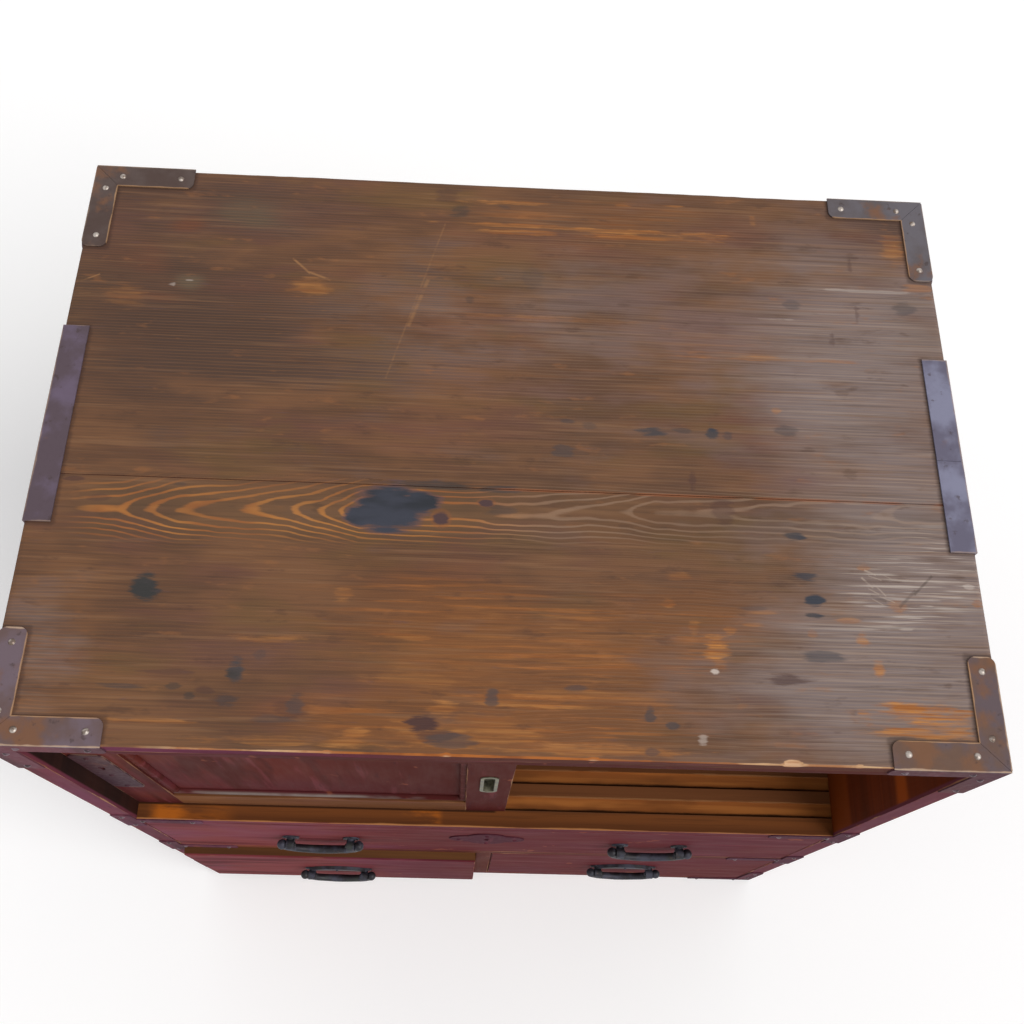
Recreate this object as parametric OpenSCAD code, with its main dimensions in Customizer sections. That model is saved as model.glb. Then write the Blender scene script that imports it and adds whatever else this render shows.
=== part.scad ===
/* [Carcase] */
// Width over the side panels
body_w = 700; // [600:10:900]
// Depth from the front face to the back
body_d = 485; // [420:5:600]
// Thickness of the side panels
side_t = 18; // [15:1:24]
// Thickness of the two top boards
top_t = 14; // [13:1:20]
// Width of the front one of the two top boards
top_front_w = 200; // [150:5:260]
// Open seam between the two top boards
top_seam = 0.4; // [0:0.1:1]
// Rounding of the top's worn front arris
arris_r = 2; // [1:0.5:4]
// Thickness of the bottom board
bottom_t = 14; // [12:1:20]
// Thickness of the back boards
back_t = 9; // [7:1:14]
// Number of back boards
back_count = 3; // [2:1:5]
// Depth of the housings cut in the sides for rails and shelves
housing_d = 5; // [3:0.5:7]

/* [Sliding-door bay] */
// Clear height of the bay
bay_h = 310; // [240:5:400]
// Thickness of the grooved sill
sill_t = 16; // [14:1:22]
// Depth of the lip in front of the first groove
sill_lip = 16.5; // [14:0.5:24]
// Width of each door groove
groove_w = 14; // [10:0.5:15]
// Width of the ridge between the two grooves
groove_ridge = 11.5; // [10:0.5:20]
// Depth of the grooves in the sill
sill_groove_d = 4; // [2:0.5:6]
// Thickness of the grooved head rail
head_t = 11; // [10:0.5:18]
// Depth of the grooves in the head rail
head_groove_d = 7.5; // [6.5:0.5:9]
// Front-to-back depth of the sill and the head rail
track_d = 60; // [60:1:90]
// Thickness of the bay's floor board
floor_t = 11; // [8:1:14]

/* [Doors] */
// Thickness of a door frame
door_t = 16; // [15:0.5:20]
// How far the two closed doors overlap
door_overlap = 30; // [20:1:60]
// Width of the stile that carries the lock
lock_stile_w = 42; // [36:1:55]
// Width of the stile that carries the pull
pull_stile_w = 38; // [32:1:50]
// Height of the door rails
door_rail_w = 42; // [32:1:60]
// Thickness of the door panel
door_panel_t = 6; // [4:0.5:7]
// How far the panel lies behind the frame's face
panel_set_back = 6; // [5:0.5:7]
// Depth of the panel groove in the frame
panel_groove_d = 6; // [4:0.5:8]
// Width of the bead round the panel
bead_w = 6; // [4:0.5:9]
// Height of the bead over the panel
bead_h = 4; // [2:0.5:4.5]
// How far a door's top tongue stands in the head groove
door_engage = 3; // [2:0.5:4]
// Gap round a door where it slides
door_gap = 0.4; // [0.3:0.05:0.8]

/* [Drawers] */
// Clear height of the upper drawer's opening
upper_open_h = 169; // [130:1:220]
// Clear height of the two lower drawers' openings
lower_open_h = 198; // [150:1:260]
// Thickness of the rail between the drawers
rail_t = 16; // [14:1:24]
// Front-to-back depth of the drawer rail and the divider post
rail_d = 45; // [35:1:70]
// Thickness of the dust board behind the drawer rail
dust_t = 9; // [6:1:12]
// Thickness of the divider between the lower drawers
divider_t = 17; // [14:1:24]
// Thickness of a drawer front
front_t = 18; // [16:1:24]
// Thickness of a drawer's sides
drawer_side_t = 10; // [8:1:14]
// Thickness of a drawer's back
drawer_back_t = 10; // [8:1:14]
// Thickness of a drawer's bottom
drawer_bottom_t = 8; // [6:1:10]
// Easing of the edges round a drawer front
front_ease = 1; // [0.5:0.1:2]
// How deep the sides' fingers enter the drawer front
finger_d = 11; // [8:1:13]
// Number of fingers and gaps along a drawer corner
finger_steps = 7; // [5:2:11]
// Gap at each side of a drawer
drawer_side_gap = 0.8; // [0.4:0.1:2]
// Gap over a drawer
drawer_top_gap = 1.2; // [0.8:0.1:3]
// Running gap under a drawer and a door
run_gap = 0.3; // [0.2:0.05:0.5]
// How far the lower left drawer stands open
left_drawer_open = 10; // [0:1:30]

/* [Drawer handles] */
// Distance of a handle's middle from the chest's middle
handle_x = 170; // [90:5:200]
// Distance between the two arms of a bail at the pivot
bail_span = 78; // [60:1:110]
// Drop from the pivot to the middle of the bail
bail_drop = 33; // [24:1:45]
// Radius of the bail in the middle
bail_mid_r = 4.4; // [3.5:0.1:5]
// Radius of the bail's arms
bail_arm_r = 3.8; // [2.5:0.1:4.2]
// Radius of the knob at the pivot
bail_knob_r = 5.2; // [4.2:0.1:5.5]
// Distance of the pivot from the drawer front
pivot_off = 8; // [8:0.5:14]
// Radius of the pins that the bail turns on
pin_r = 2.2; // [1.6:0.1:2.6]
// Clearance round a pin in its eye
pin_gap = 0.06; // [0.02:0.01:0.1]
// Radius of the eye on a handle post
eye_r = 5.6; // [4.8:0.1:7]
// Width of the eye along the pin
eye_w = 8; // [5:0.5:10]
// Radius of a handle post
post_r = 3.8; // [2.4:0.1:3.8]
// Radius of the washer under a handle post
rosette_r = 8.5; // [6:0.5:12]
// Thickness of the washers
rosette_t = 1.4; // [1:0.1:2]
// Thickness of the arched plates
arch_t = 4; // [1.5:0.5:6]
// Rise of the arched plate over the pivot line
arch_rise = 15; // [10:1:25]
// Width of the arched plate at its middle
arch_w = 9; // [6:1:14]

/* [Carrying handles] */
// Height of the carrying handles' pivots over the floor
carry_z = 560; // [400:10:640]
// Distance between the two arms of a carrying bail
carry_span = 112; // [80:2:140]
// Drop of a carrying bail
carry_drop = 44; // [34:1:60]
// Radius of a carrying bail in the middle
carry_mid_r = 5.5; // [4:0.1:6]
// Distance of a carrying bail's pivot from the side panel
carry_off = 11; // [10:0.5:16]

/* [Ironwork] */
// Thickness of the iron plates
iron_t = 1.2; // [0.8:0.1:2]
// Length of a corner iron's legs
iron_leg = 81; // [60:1:110]
// Width of a corner iron's legs
iron_w = 19; // [14:1:26]
// Rounding of the ends of the irons
iron_end_r = 6; // [2:0.5:9]
// Open seam at the mitre of a corner iron
mitre_seam = 0.3; // [0.1:0.1:0.8]
// Length of the plates on the left and right top edges
edge_plate_l = 167; // [100:1:220]
// Distance of the edge plates from the front face
edge_plate_y = 161; // [120:1:200]
// Distance along the right edge plate to its butt joint
edge_plate_split = 76; // [40:1:120]
// Length of the tee irons along the rails
tee_l = 78; // [50:1:110]
// Height of the tee irons' upright
tee_h = 64; // [40:1:90]
// Radius of a nail's domed head
nail_r = 2.5; // [1.6:0.1:3]
// Height of a nail's domed head
nail_dome = 1.4; // [0.8:0.1:1.5]
// Radius of a nail's shank
shank_r = 1.1; // [0.8:0.1:1.2]
// Length of a nail under its plate
nail_l = 5; // [4:0.5:6]
// Clearance round a nail's shank
nail_gap = 0.1; // [0.05:0.01:0.2]

/* [Lock plates] */
// Width of the door's lock plate
door_plate_w = 27; // [20:1:34]
// Height of the door's lock plate
door_plate_h = 135; // [90:1:180]
// Height of the lock plate's middle over the middle of the bay
door_plate_rise = 2.5; // [-20:0.5:20]
// Width of the pull's plate
pull_w = 15; // [12:1:22]
// Height of the pull's plate
pull_h = 68; // [45:1:90]
// Height of the pull's middle over the middle of the bay
pull_rise = -11; // [-30:1:30]
// Depth of the pull's cup
pull_d = 9; // [6:0.5:11]
// Radius of the lobes of the drawer's lock plate
lobe_r = 19; // [14:1:24]
// Distance of the side lobes from the lock plate's middle
lobe_x = 19; // [14:1:24]
// Distance of the upper and lower lobes from the lock plate's middle
lobe_z = 15; // [10:1:20]
// Height of the lock plate's middle over the drawer's foot
lock_z = 107; // [60:1:120]
// Radius of a keyhole
keyhole_r = 3; // [2:0.5:4]
// Width and height of the drawer's lock case
lock_case_w = 46; // [36:1:60]
// Thickness of the lock case's iron
lock_wall = 1.5; // [1:0.1:2.5]
// Width of the lock's bolt
bolt_w = 16; // [13:1:18]
// Thickness of the lock's bolt
bolt_t = 3; // [2:0.5:4]
// Travel of the bolt into the sill
bolt_throw = 7; // [4:0.5:8]
// Play round the bolt
bolt_play = 0.4; // [0.3:0.05:0.6]

/* [Hidden] */

// Fineness of round work, and of the long arcs of the arched plates
$fn = 48;
arc_fn = 96;
// Overshoot of a cutting tool past the face that it cuts
cut = 1;

lacquer = [0.36, 0.17, 0.19];
raw_wood = [0.55, 0.33, 0.15];
top_wood = [0.34, 0.23, 0.13];
iron = [0.3, 0.27, 0.27];
black_iron = [0.13, 0.13, 0.14];
pale_metal = [0.55, 0.56, 0.5];

// Heights, from the floor up
lower_z0 = bottom_t;
lower_z1 = lower_z0 + lower_open_h;
upper_z0 = lower_z1 + rail_t;
upper_z1 = upper_z0 + upper_open_h;
bay_z0 = upper_z1 + sill_t;
bay_z1 = bay_z0 + bay_h;
side_z1 = bay_z1 + head_t;
body_h = side_z1 + top_t;

// Planes of the carcase
half_w = body_w / 2;
inner_x = half_w - side_t;
housed_x = inner_x + housing_d;
front_y = -body_d / 2;
back_y = body_d / 2;
back_in_y = back_y - back_t;
back_rebate = side_t / 2;

// Door tracks
groove_y = [front_y + sill_lip, front_y + sill_lip + groove_w + groove_ridge];
door_w = (2 * inner_x + door_overlap) / 2;
door_x0 = -inner_x + door_gap;
door_x1 = -inner_x + door_w;
door_z0 = bay_z0 + run_gap;
door_z1 = bay_z1 - run_gap;

// Blind tenons that hold the top boards on the sides, and their places
// as shares of the width of the front and of the rear board
tenon_t = 6;
tenon_w = 30;
tenon_h = 8;
front_tenons_at = [0.3, 0.75];
rear_tenons_at = [0.25, 0.72];
joint_gap = 0.1;

// Stub tenons of the divider post: width, height and distance from the front
post_tenon_w = 22;
post_tenon_h = 6;
post_tenon_y = 12;

// Play between a bail's arm and its post, room that a post takes along the pin,
// and length of the pin past it
handle_arm_inset = 0.4;
eye_room = max(eye_w, 2 * post_r);
pin_stub = 1.5;
// Clenched washers inside a board, and the post's stub past them
clench_r = 6;
clench_stub = 1;

// Nail places along a leg of a corner iron, and their distances from the ends of the irons
leg_nail_end = 11;
bar_nail_end = 9;
upright_nail_end = 8;
nail_far = iron_leg - leg_nail_end;
nail_past_leg = 3;
nail_near = iron_w + nail_past_leg;
nail_drop = 6;
nail_under_leg = nail_near + nail_drop;
// Height of a foot iron's lower edge over the floor
foot_iron_z = 1;

// ---------------------------------------------------------------- shared shapes

// Box between two opposite corners
module slab(lo, hi) {
  translate(lo) cube(hi - lo);
}

// Places its child in the right-hand half, or mirrored in the left-hand half
module side_of(s) {
  mirror([s < 0 ? 1 : 0, 0, 0]) children();
}

// Places its child at the front, or mirrored at the back
module end_of(s) {
  mirror([0, s > 0 ? 1 : 0, 0]) children();
}

// Flat strip from the origin along +X, as wide as w along +Y, with two round far corners
module round_ended(l, w, r) {
  square([l - r, w]);
  translate([0, r]) square([l, w - 2 * r]);
  translate([l - r, r]) circle(r);
  translate([l - r, w - r]) circle(r);
}

// Domed nail on a face at z = 0, its shank going down
module nail() {
  dome_r = (nail_r * nail_r + nail_dome * nail_dome) / (2 * nail_dome);
  intersection() {
    translate([0, 0, nail_dome - dome_r]) sphere(dome_r);
    cylinder(r = nail_r, h = nail_dome);
  }
  translate([0, 0, -iron_t - nail_l]) cylinder(r = shank_r, h = iron_t + nail_l);
}

// Hole for one nail, through the plate and into the board
module nail_hole() {
  translate([0, 0, -iron_t - nail_l - nail_gap])
    cylinder(r = shank_r + nail_gap, h = iron_t + nail_l + nail_gap + cut);
}

// Lays its child's z = 0 face on the irons of the top, of the front or of the right side
module on_top(p) {
  translate([p[0], p[1], body_h + iron_t]) children();
}
module on_front(p) {
  translate([p[0], front_y - iron_t, p[1]]) rotate([90, 0, 0]) children();
}
module on_side(p) {
  translate([half_w + iron_t, p[0], p[1]]) rotate([0, 90, 0]) children();
}

// Nail places on the top, right half, as distances from the right and front edges
top_nails_at = [
  [-iron_w / 2, nail_far], [-iron_w / 2, nail_near],
  [-nail_far, iron_w / 2], [-nail_near, iron_w / 2]
];

// Nail places on the front, right half
front_leg_z = body_h - iron_w / 2;
tee_z = [upper_z1 + sill_t / 2, lower_z1 + rail_t / 2];
front_nails_at = concat(
  [for (x = [nail_near, nail_far]) [half_w - x, front_leg_z]],
  [for (z = [nail_under_leg, nail_far]) [half_w - side_t / 2, body_h - z]],
  [for (x = [nail_near, nail_far]) [half_w - x, bottom_t / 2]],
  [for (z = [nail_under_leg, nail_far]) [half_w - side_t / 2, z]],
  [for (zc = tee_z) for (x = [nail_near, tee_l - bar_nail_end]) [half_w - x, zc]],
  [for (zc = tee_z) for (s = [-1, 1])
    [half_w - side_t / 2, zc + s * (tee_h / 2 - upright_nail_end)]]
);

// Nail places on the right side, as distances from the front or back edge and heights
side_nails_at = [
  [nail_near, body_h - iron_w / 2], [nail_far, body_h - iron_w / 2],
  [iron_w / 2, body_h - nail_far]
];
edge_nails_at = [
  for (y = [bar_nail_end, edge_plate_split - bar_nail_end,
            edge_plate_split + bar_nail_end, edge_plate_l - bar_nail_end])
    [edge_plate_y + y, body_h - iron_w / 2]
];

// All places of one face, with a child at each
module at_top_nails() {
  for (s = [-1, 1]) side_of(s) {
    for (e = [-1, 1]) end_of(e) for (p = top_nails_at) {
      on_top([half_w + p[0], front_y + p[1]]) children();
    }
  }
}
module at_front_nails() {
  for (s = [-1, 1]) side_of(s) for (p = front_nails_at) on_front(p) children();
}
module at_side_nails(s) {
  side_of(s) {
    for (e = [-1, 1]) end_of(e) for (p = side_nails_at) {
      on_side([front_y + p[0], p[1]]) children();
    }
    for (p = edge_nails_at) on_side([front_y + p[0], p[1]]) children();
  }
}

// ---------------------------------------------------------------- carcase

// Tenons on a side panel's upper edge; grow widens them into their mortises
module top_tenons(grow) {
  x = inner_x + (side_t - tenon_t) / 2;
  rear_w = body_d - top_front_w;
  for (y = concat([for (k = front_tenons_at) k * top_front_w],
                  [for (k = rear_tenons_at) top_front_w + k * rear_w])) {
    slab([x - grow, front_y + y - tenon_w / 2 - grow, side_z1 - cut],
         [x + tenon_t + grow, front_y + y + tenon_w / 2 + grow, side_z1 + tenon_h + grow]);
  }
}

// Housings in a side panel for every rail, shelf and board that runs into it
module side_housings() {
  x = inner_x - cut;
  rail_y = front_y + rail_d;
  track_y = front_y + track_d;
  slab([x, front_y - cut, -cut], [housed_x, back_y + cut, bottom_t]);
  slab([x, front_y - cut, lower_z1], [housed_x, rail_y, upper_z0]);
  slab([x, rail_y - cut, upper_z0 - dust_t], [housed_x, back_y + cut, upper_z0]);
  slab([x, front_y - cut, upper_z1], [housed_x, track_y, bay_z0]);
  slab([x, track_y - cut, bay_z0 - floor_t], [housed_x, back_y + cut, bay_z0]);
  slab([x, front_y - cut, bay_z1], [housed_x, track_y, side_z1 + cut]);
  slab([x, back_in_y, -cut], [inner_x + back_rebate, back_y + cut, side_z1 + cut]);
}

module side_panel(s) {
  difference() {
    side_of(s) difference() {
      union() {
        slab([inner_x, front_y, 0], [half_w, back_y, side_z1]);
        top_tenons(0);
      }
      side_housings();
      carry_holes();
    }
    at_side_nails(s) nail_hole();
    at_front_nails() nail_hole();
  }
}

module side_panel_left() {
  color(lacquer) side_panel(-1);
}

module side_panel_right() {
  color(lacquer) side_panel(1);
}

// Long tongue that keys the rear top board to the front one; grow widens its groove
seam_y = front_y + top_front_w;
key_t = 4;
key_d = 5;
module top_key(grow) {
  z = side_z1 + (top_t - key_t) / 2;
  slab([-half_w - grow, seam_y - key_d - grow, z - grow],
       [half_w + grow, seam_y + top_seam + cut, z + key_t + grow]);
}

// Cross-section of the front top board, with its worn arris rounded
module top_front_section() {
  translate([0, arris_r]) square([arris_r, top_t - 2 * arris_r]);
  translate([arris_r, 0]) square([top_front_w - arris_r, top_t]);
  translate([arris_r, top_t - arris_r]) circle(arris_r);
  square([arris_r, top_t - arris_r]);
}

module top_board_front() {
  color(top_wood) difference() {
    translate([-half_w, front_y, side_z1])
      rotate([90, 0, 90]) linear_extrude(body_w) top_front_section();
    for (s = [-1, 1]) side_of(s) top_tenons(joint_gap);
    top_key(joint_gap);
    at_top_nails() nail_hole();
    at_front_nails() nail_hole();
    for (s = [-1, 1]) at_side_nails(s) nail_hole();
  }
}

module top_board_rear() {
  color(top_wood) difference() {
    union() {
      slab([-half_w, seam_y + top_seam, side_z1], [half_w, back_y, body_h]);
      top_key(0);
    }
    for (s = [-1, 1]) side_of(s) top_tenons(joint_gap);
    at_top_nails() nail_hole();
    for (s = [-1, 1]) at_side_nails(s) nail_hole();
  }
}

module bottom_board() {
  color(raw_wood) difference() {
    slab([-housed_x, front_y, 0], [housed_x, back_in_y, bottom_t]);
    post_tenons(joint_gap);
    at_front_nails() nail_hole();
  }
}

// Boards laid across the back, edge to edge, in the sides' rebates
module back_boards() {
  x = inner_x + back_rebate;
  step = side_z1 / back_count;
  color(raw_wood) for (i = [0:back_count - 1]) {
    slab([-x, back_in_y, i * step + (i > 0 ? joint_gap : 0)],
         [x, back_y, (i + 1) * step]);
  }
}

// The two grooves that the doors run in, from z0 to z1
module door_grooves(z0, z1) {
  for (y = groove_y) {
    slab([-housed_x - cut, y, z0], [housed_x + cut, y + groove_w, z1]);
  }
}

module door_sill() {
  color(raw_wood) difference() {
    slab([-housed_x, front_y, upper_z1], [housed_x, front_y + track_d, bay_z0]);
    door_grooves(bay_z0 - sill_groove_d, bay_z0 + cut);
    bolt_room(2 * bolt_play, upper_z1 - cut, upper_z1 + bolt_throw);
    at_front_nails() nail_hole();
  }
}

module bay_floor_board() {
  color(raw_wood)
    slab([-housed_x, front_y + track_d, bay_z0 - floor_t], [housed_x, back_in_y, bay_z0]);
}

module door_head_rail() {
  color(lacquer) difference() {
    slab([-housed_x, front_y, bay_z1], [housed_x, front_y + track_d, side_z1]);
    door_grooves(bay_z1 - cut, bay_z1 + head_groove_d);
    at_front_nails() nail_hole();
  }
}

// Stub tenons of the divider post, down into the bottom and up into the rail
module post_tenons(grow) {
  y = front_y + post_tenon_y;
  for (z = [lower_z0 - post_tenon_h - grow, lower_z1 - cut]) {
    slab([-tenon_t / 2 - grow, y - grow, z],
         [tenon_t / 2 + grow, y + post_tenon_w + grow, z + post_tenon_h + cut + grow]);
  }
}

module drawer_rail() {
  color(lacquer) difference() {
    slab([-housed_x, front_y, lower_z1], [housed_x, front_y + rail_d, upper_z0]);
    post_tenons(joint_gap);
    at_front_nails() nail_hole();
  }
}

module dust_board() {
  color(raw_wood)
    slab([-housed_x, front_y + rail_d, upper_z0 - dust_t], [housed_x, back_in_y, upper_z0]);
}

module divider_post() {
  color(lacquer) {
    slab([-divider_t / 2, front_y, lower_z0], [divider_t / 2, front_y + rail_d, lower_z1]);
    post_tenons(0);
  }
}

module divider_board() {
  color(raw_wood)
    slab([-divider_t / 2, front_y + rail_d, lower_z0],
         [divider_t / 2, back_in_y, upper_z0 - dust_t]);
}

// ---------------------------------------------------------------- ironwork

// Half plane beyond the mitre line of a corner iron, on the front's or on the side's half
module mitre_cut(on_side) {
  e = iron_w + iron_t + iron_leg;
  gap = on_side ? mitre_seam / 2 : -mitre_seam / 2;
  far = on_side ? -2 * e : 2 * e;
  polygon([[gap + e, -e], [gap - e, e], [far, e], [far, -e]]);
}

// Flat of the plate along the top's front edge
module corner_iron_front_part() {
  difference() {
    translate([half_w, front_y, body_h]) linear_extrude(iron_t) difference() {
      union() {
        translate([iron_t, 0]) mirror([1, 0]) round_ended(iron_leg + iron_t, iron_w, iron_end_r);
        translate([-iron_leg, -iron_t]) square([iron_leg + iron_t, iron_w / 2]);
      }
      mitre_cut(false);
    }
    at_top_nails() nail_hole();
  }
}

// The same plate's fold on the front face, with a leg down the side panel's edge
module corner_iron_face(leg_z) {
  difference() {
    translate([half_w + iron_t, front_y, body_h]) rotate([90, 0, 0])
      linear_extrude(iron_t) {
        translate([0, -iron_w]) mirror([1, 0])
          round_ended(iron_leg + iron_t, iron_w, iron_end_r);
        translate([-side_t - iron_t, -leg_z]) square([side_t + iron_t, leg_z]);
      }
    at_front_nails() nail_hole();
  }
}

// Plate over the side's top edge: flat on the top, folded down the side
module corner_iron_side_part() {
  difference() {
    union() {
      translate([half_w, front_y, body_h]) linear_extrude(iron_t) difference() {
        translate([iron_t, 0]) rotate(90) round_ended(iron_leg, iron_w + iron_t, iron_end_r);
        mitre_cut(true);
      }
      translate([half_w, front_y, body_h]) rotate([90, 0, 90]) linear_extrude(iron_t)
        difference() {
          union() {
            translate([0, -iron_w]) round_ended(iron_leg, iron_w, iron_end_r);
            rotate(-90) round_ended(iron_leg, iron_w, iron_end_r);
          }
          translate([-cut, -iron_leg - cut]) square([cut + mitre_seam, iron_leg + 2 * cut]);
        }
    }
    at_top_nails() nail_hole();
    at_side_nails(1) nail_hole();
  }
}

module corner_irons(e) {
  for (s = [-1, 1]) side_of(s) end_of(e) {
    union() {
      corner_iron_front_part();
      corner_iron_face(iron_leg);
    }
    corner_iron_side_part();
  }
}

module corner_irons_front() {
  color(iron) corner_irons(-1);
}

module corner_irons_back() {
  color(iron) corner_irons(1);
}

// Plate folded over the top edge of the right side, from y0 to y1
module edge_plate(y0, y1) {
  difference() {
    union() {
      slab([half_w - iron_w, front_y + y0, body_h],
           [half_w + iron_t, front_y + y1, body_h + iron_t]);
      slab([half_w, front_y + y0, body_h - iron_w],
           [half_w + iron_t, front_y + y1, body_h + iron_t]);
    }
    at_side_nails(1) nail_hole();
  }
}

module edge_plates() {
  y0 = edge_plate_y;
  y1 = edge_plate_y + edge_plate_l;
  color(iron) {
    side_of(-1) edge_plate(y0, y1);
    edge_plate(y0, y0 + edge_plate_split);
    edge_plate(y0 + edge_plate_split + mitre_seam, y1);
  }
}

// Angle plate at the foot of the right side, on the front face
module foot_iron() {
  translate([half_w, front_y, foot_iron_z]) rotate([90, 0, 0]) linear_extrude(iron_t) {
    mirror([1, 0]) round_ended(iron_leg, bottom_t - foot_iron_z, iron_end_r / 2);
    rotate(90) round_ended(iron_leg, side_t, iron_end_r);
  }
}

// Tee plate where a rail meets the right side, its bar along the rail
module tee_iron(zc, bar_h) {
  translate([half_w, front_y, zc]) rotate([90, 0, 0]) linear_extrude(iron_t) {
    translate([0, -bar_h / 2]) mirror([1, 0]) round_ended(tee_l, bar_h, iron_end_r / 2);
    translate([0, -tee_h / 2]) mirror([1, 0]) square([side_t, tee_h]);
  }
}

module front_irons() {
  color(iron) difference() {
    for (s = [-1, 1]) side_of(s) {
      foot_iron();
      tee_iron(tee_z[0], sill_t);
      tee_iron(tee_z[1], rail_t);
    }
    at_front_nails() nail_hole();
  }
}

module top_nails() {
  color(pale_metal) at_top_nails() nail();
}

module face_nails() {
  color(pale_metal) {
    at_front_nails() nail();
    for (s = [-1, 1]) at_side_nails(s) nail();
  }
}

// ---------------------------------------------------------------- bail handles

// Points of a bail's middle line: it hangs from the pivot line y = 0, z = 0.
// It falls with the cosine to one power, and swells with it to another
bail_rings = 25;
bail_sides = 10;
bail_fall = 0.8;
bail_swell = 1.5;
function bail_angle(i) = -90 + 180 * i / (bail_rings - 1);
function bail_low(i) = max(cos(bail_angle(i)), 0);
function bail_point(i, span, drop) =
  [span / 2 * sin(bail_angle(i)), 0, -drop * pow(bail_low(i), bail_fall)];
function bail_radius(i, r_arm, r_mid) =
  r_arm + (r_mid - r_arm) * pow(bail_low(i), bail_swell);

// Direction of the middle line, straight up at both arms
function bail_dir(i, span, drop) =
  i == 0 ? [0, 0, -1] :
  i == bail_rings - 1 ? [0, 0, 1] :
  let (d = bail_point(i + 1, span, drop) - bail_point(i - 1, span, drop)) d / norm(d);

// One ring of points round the middle line
function bail_ring(i, span, drop, r_arm, r_mid) =
  let (p = bail_point(i, span, drop),
       d = bail_dir(i, span, drop),
       n = [-d[2], 0, d[0]],
       r = bail_radius(i, r_arm, r_mid))
  [for (j = [0:bail_sides - 1])
    let (a = 360 * (j + 0.5) / bail_sides) p + r * (cos(a) * n + sin(a) * [0, 1, 0])];

// Crescent rod, thick in the middle and thin at its arms
module crescent(span, drop, r_arm, r_mid) {
  pts = [for (i = [0:bail_rings - 1]) each bail_ring(i, span, drop, r_arm, r_mid)];
  sides = [for (i = [0:bail_rings - 2]) for (j = [0:bail_sides - 1])
    let (k = (j + 1) % bail_sides)
    [i * bail_sides + j, i * bail_sides + k, (i + 1) * bail_sides + k, (i + 1) * bail_sides + j]];
  first = [for (j = [0:bail_sides - 1]) bail_sides - 1 - j];
  last = [for (j = [0:bail_sides - 1]) (bail_rings - 1) * bail_sides + j];
  polyhedron(pts, concat(sides, [first, last]));
}

// Half distance between the two eyes of a handle, to the middle of each eye
function eye_x(span) = span / 2 - bail_arm_r - handle_arm_inset - eye_room / 2;

// Bail with its knobs and the pins that reach inwards through the eyes
module bail(span, drop, r_mid) {
  pin_l = bail_arm_r + handle_arm_inset + eye_room + pin_stub;
  crescent(span, drop, bail_arm_r, r_mid);
  for (s = [-1, 1]) side_of(s) translate([span / 2, 0, 0]) {
    intersection() {
      sphere(bail_knob_r);
      translate([-bail_arm_r, -bail_knob_r, -bail_knob_r])
        cube([bail_arm_r + bail_knob_r, 2 * bail_knob_r, 2 * bail_knob_r]);
    }
    rotate([0, -90, 0]) cylinder(r = pin_r, h = pin_l);
  }
}

// Post that stands out of a board at y = 0 towards -Y, with an eye off from the board,
// a round washer on the face and a clenched washer inside the board
module handle_post(board_t, off) {
  stub_y = board_t + rosette_t + clench_stub;
  difference() {
    union() {
      translate([-eye_w / 2, -off, 0]) rotate([0, 90, 0]) cylinder(r = eye_r, h = eye_w);
      rotate([90, 0, 0]) cylinder(r = post_r, h = off - pin_r);
      translate([0, stub_y, 0]) rotate([90, 0, 0]) cylinder(r = post_r, h = stub_y);
      rotate([90, 0, 0]) cylinder(r = rosette_r, h = rosette_t);
      translate([0, board_t + rosette_t, 0]) rotate([90, 0, 0]) cylinder(r = clench_r, h = rosette_t);
    }
    translate([-eye_w, -off, 0]) rotate([0, 90, 0])
      cylinder(r = pin_r + pin_gap, h = 2 * eye_w);
  }
}

// Two posts of one handle
module post_pair(span, board_t, off) {
  for (s = [-1, 1]) translate([s * eye_x(span), 0, 0]) handle_post(board_t, off);
}

// Holes for the two posts through a board
module post_holes(span, board_t) {
  for (s = [-1, 1]) translate([s * eye_x(span), board_t + cut, 0]) rotate([90, 0, 0])
    cylinder(r = post_r + nail_gap, h = board_t + 2 * cut);
}

// Arched plate over the posts, with its nail: the space between two arcs that rise over
// the posts by a washer's radius more, cut off over each post and round its washer
module arched_plate(span) {
  c = eye_x(span);
  r_out = (c * c + arch_rise * arch_rise) / (2 * arch_rise);
  r_in_rise = arch_rise - arch_w;
  r_in = (c * c + r_in_rise * r_in_rise) / (2 * r_in_rise);
  foot = rosette_r;
  swell = 2;
  rotate([90, 0, 0]) linear_extrude(arch_t) difference() {
    intersection() {
      translate([0, arch_rise + foot - r_out - swell]) circle(r_out + swell, $fn = arc_fn);
      translate([-c, 0]) square([2 * c, arch_rise + foot]);
    }
    translate([0, r_in_rise + foot - swell - r_in]) circle(r_in, $fn = arc_fn);
    for (s = [-1, 1]) translate([s * c, 0]) circle(rosette_r + joint_gap);
  }
  translate([0, -arch_t / 2, arch_rise + foot - arch_w / 2]) rotate([90, 0, 0])
    cylinder(r1 = nail_r, r2 = nail_r / 2, h = nail_dome + arch_t / 2);
}

// ---------------------------------------------------------------- carrying handles

// Frame of a carrying handle on the right side, its outward direction being +X
module at_carry() {
  translate([half_w, 0, carry_z]) rotate([0, 0, 90]) children();
}

module carry_holes() {
  at_carry() post_holes(carry_span, side_t);
}

module carry_posts() {
  color(black_iron) for (s = [-1, 1]) side_of(s) at_carry()
    post_pair(carry_span, side_t, carry_off);
}

module carry_bail(s) {
  color(black_iron) side_of(s) at_carry() translate([0, -carry_off, 0])
    bail(carry_span, carry_drop, carry_mid_r);
}

module carry_bail_left() {
  carry_bail(-1);
}

module carry_bail_right() {
  carry_bail(1);
}

// ---------------------------------------------------------------- doors

// Puts a door's child in the front track (0) or the rear track (1)
module in_track(t) {
  translate([0, groove_y[t] + (groove_w - door_t) / 2, 0]) children();
}

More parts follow.
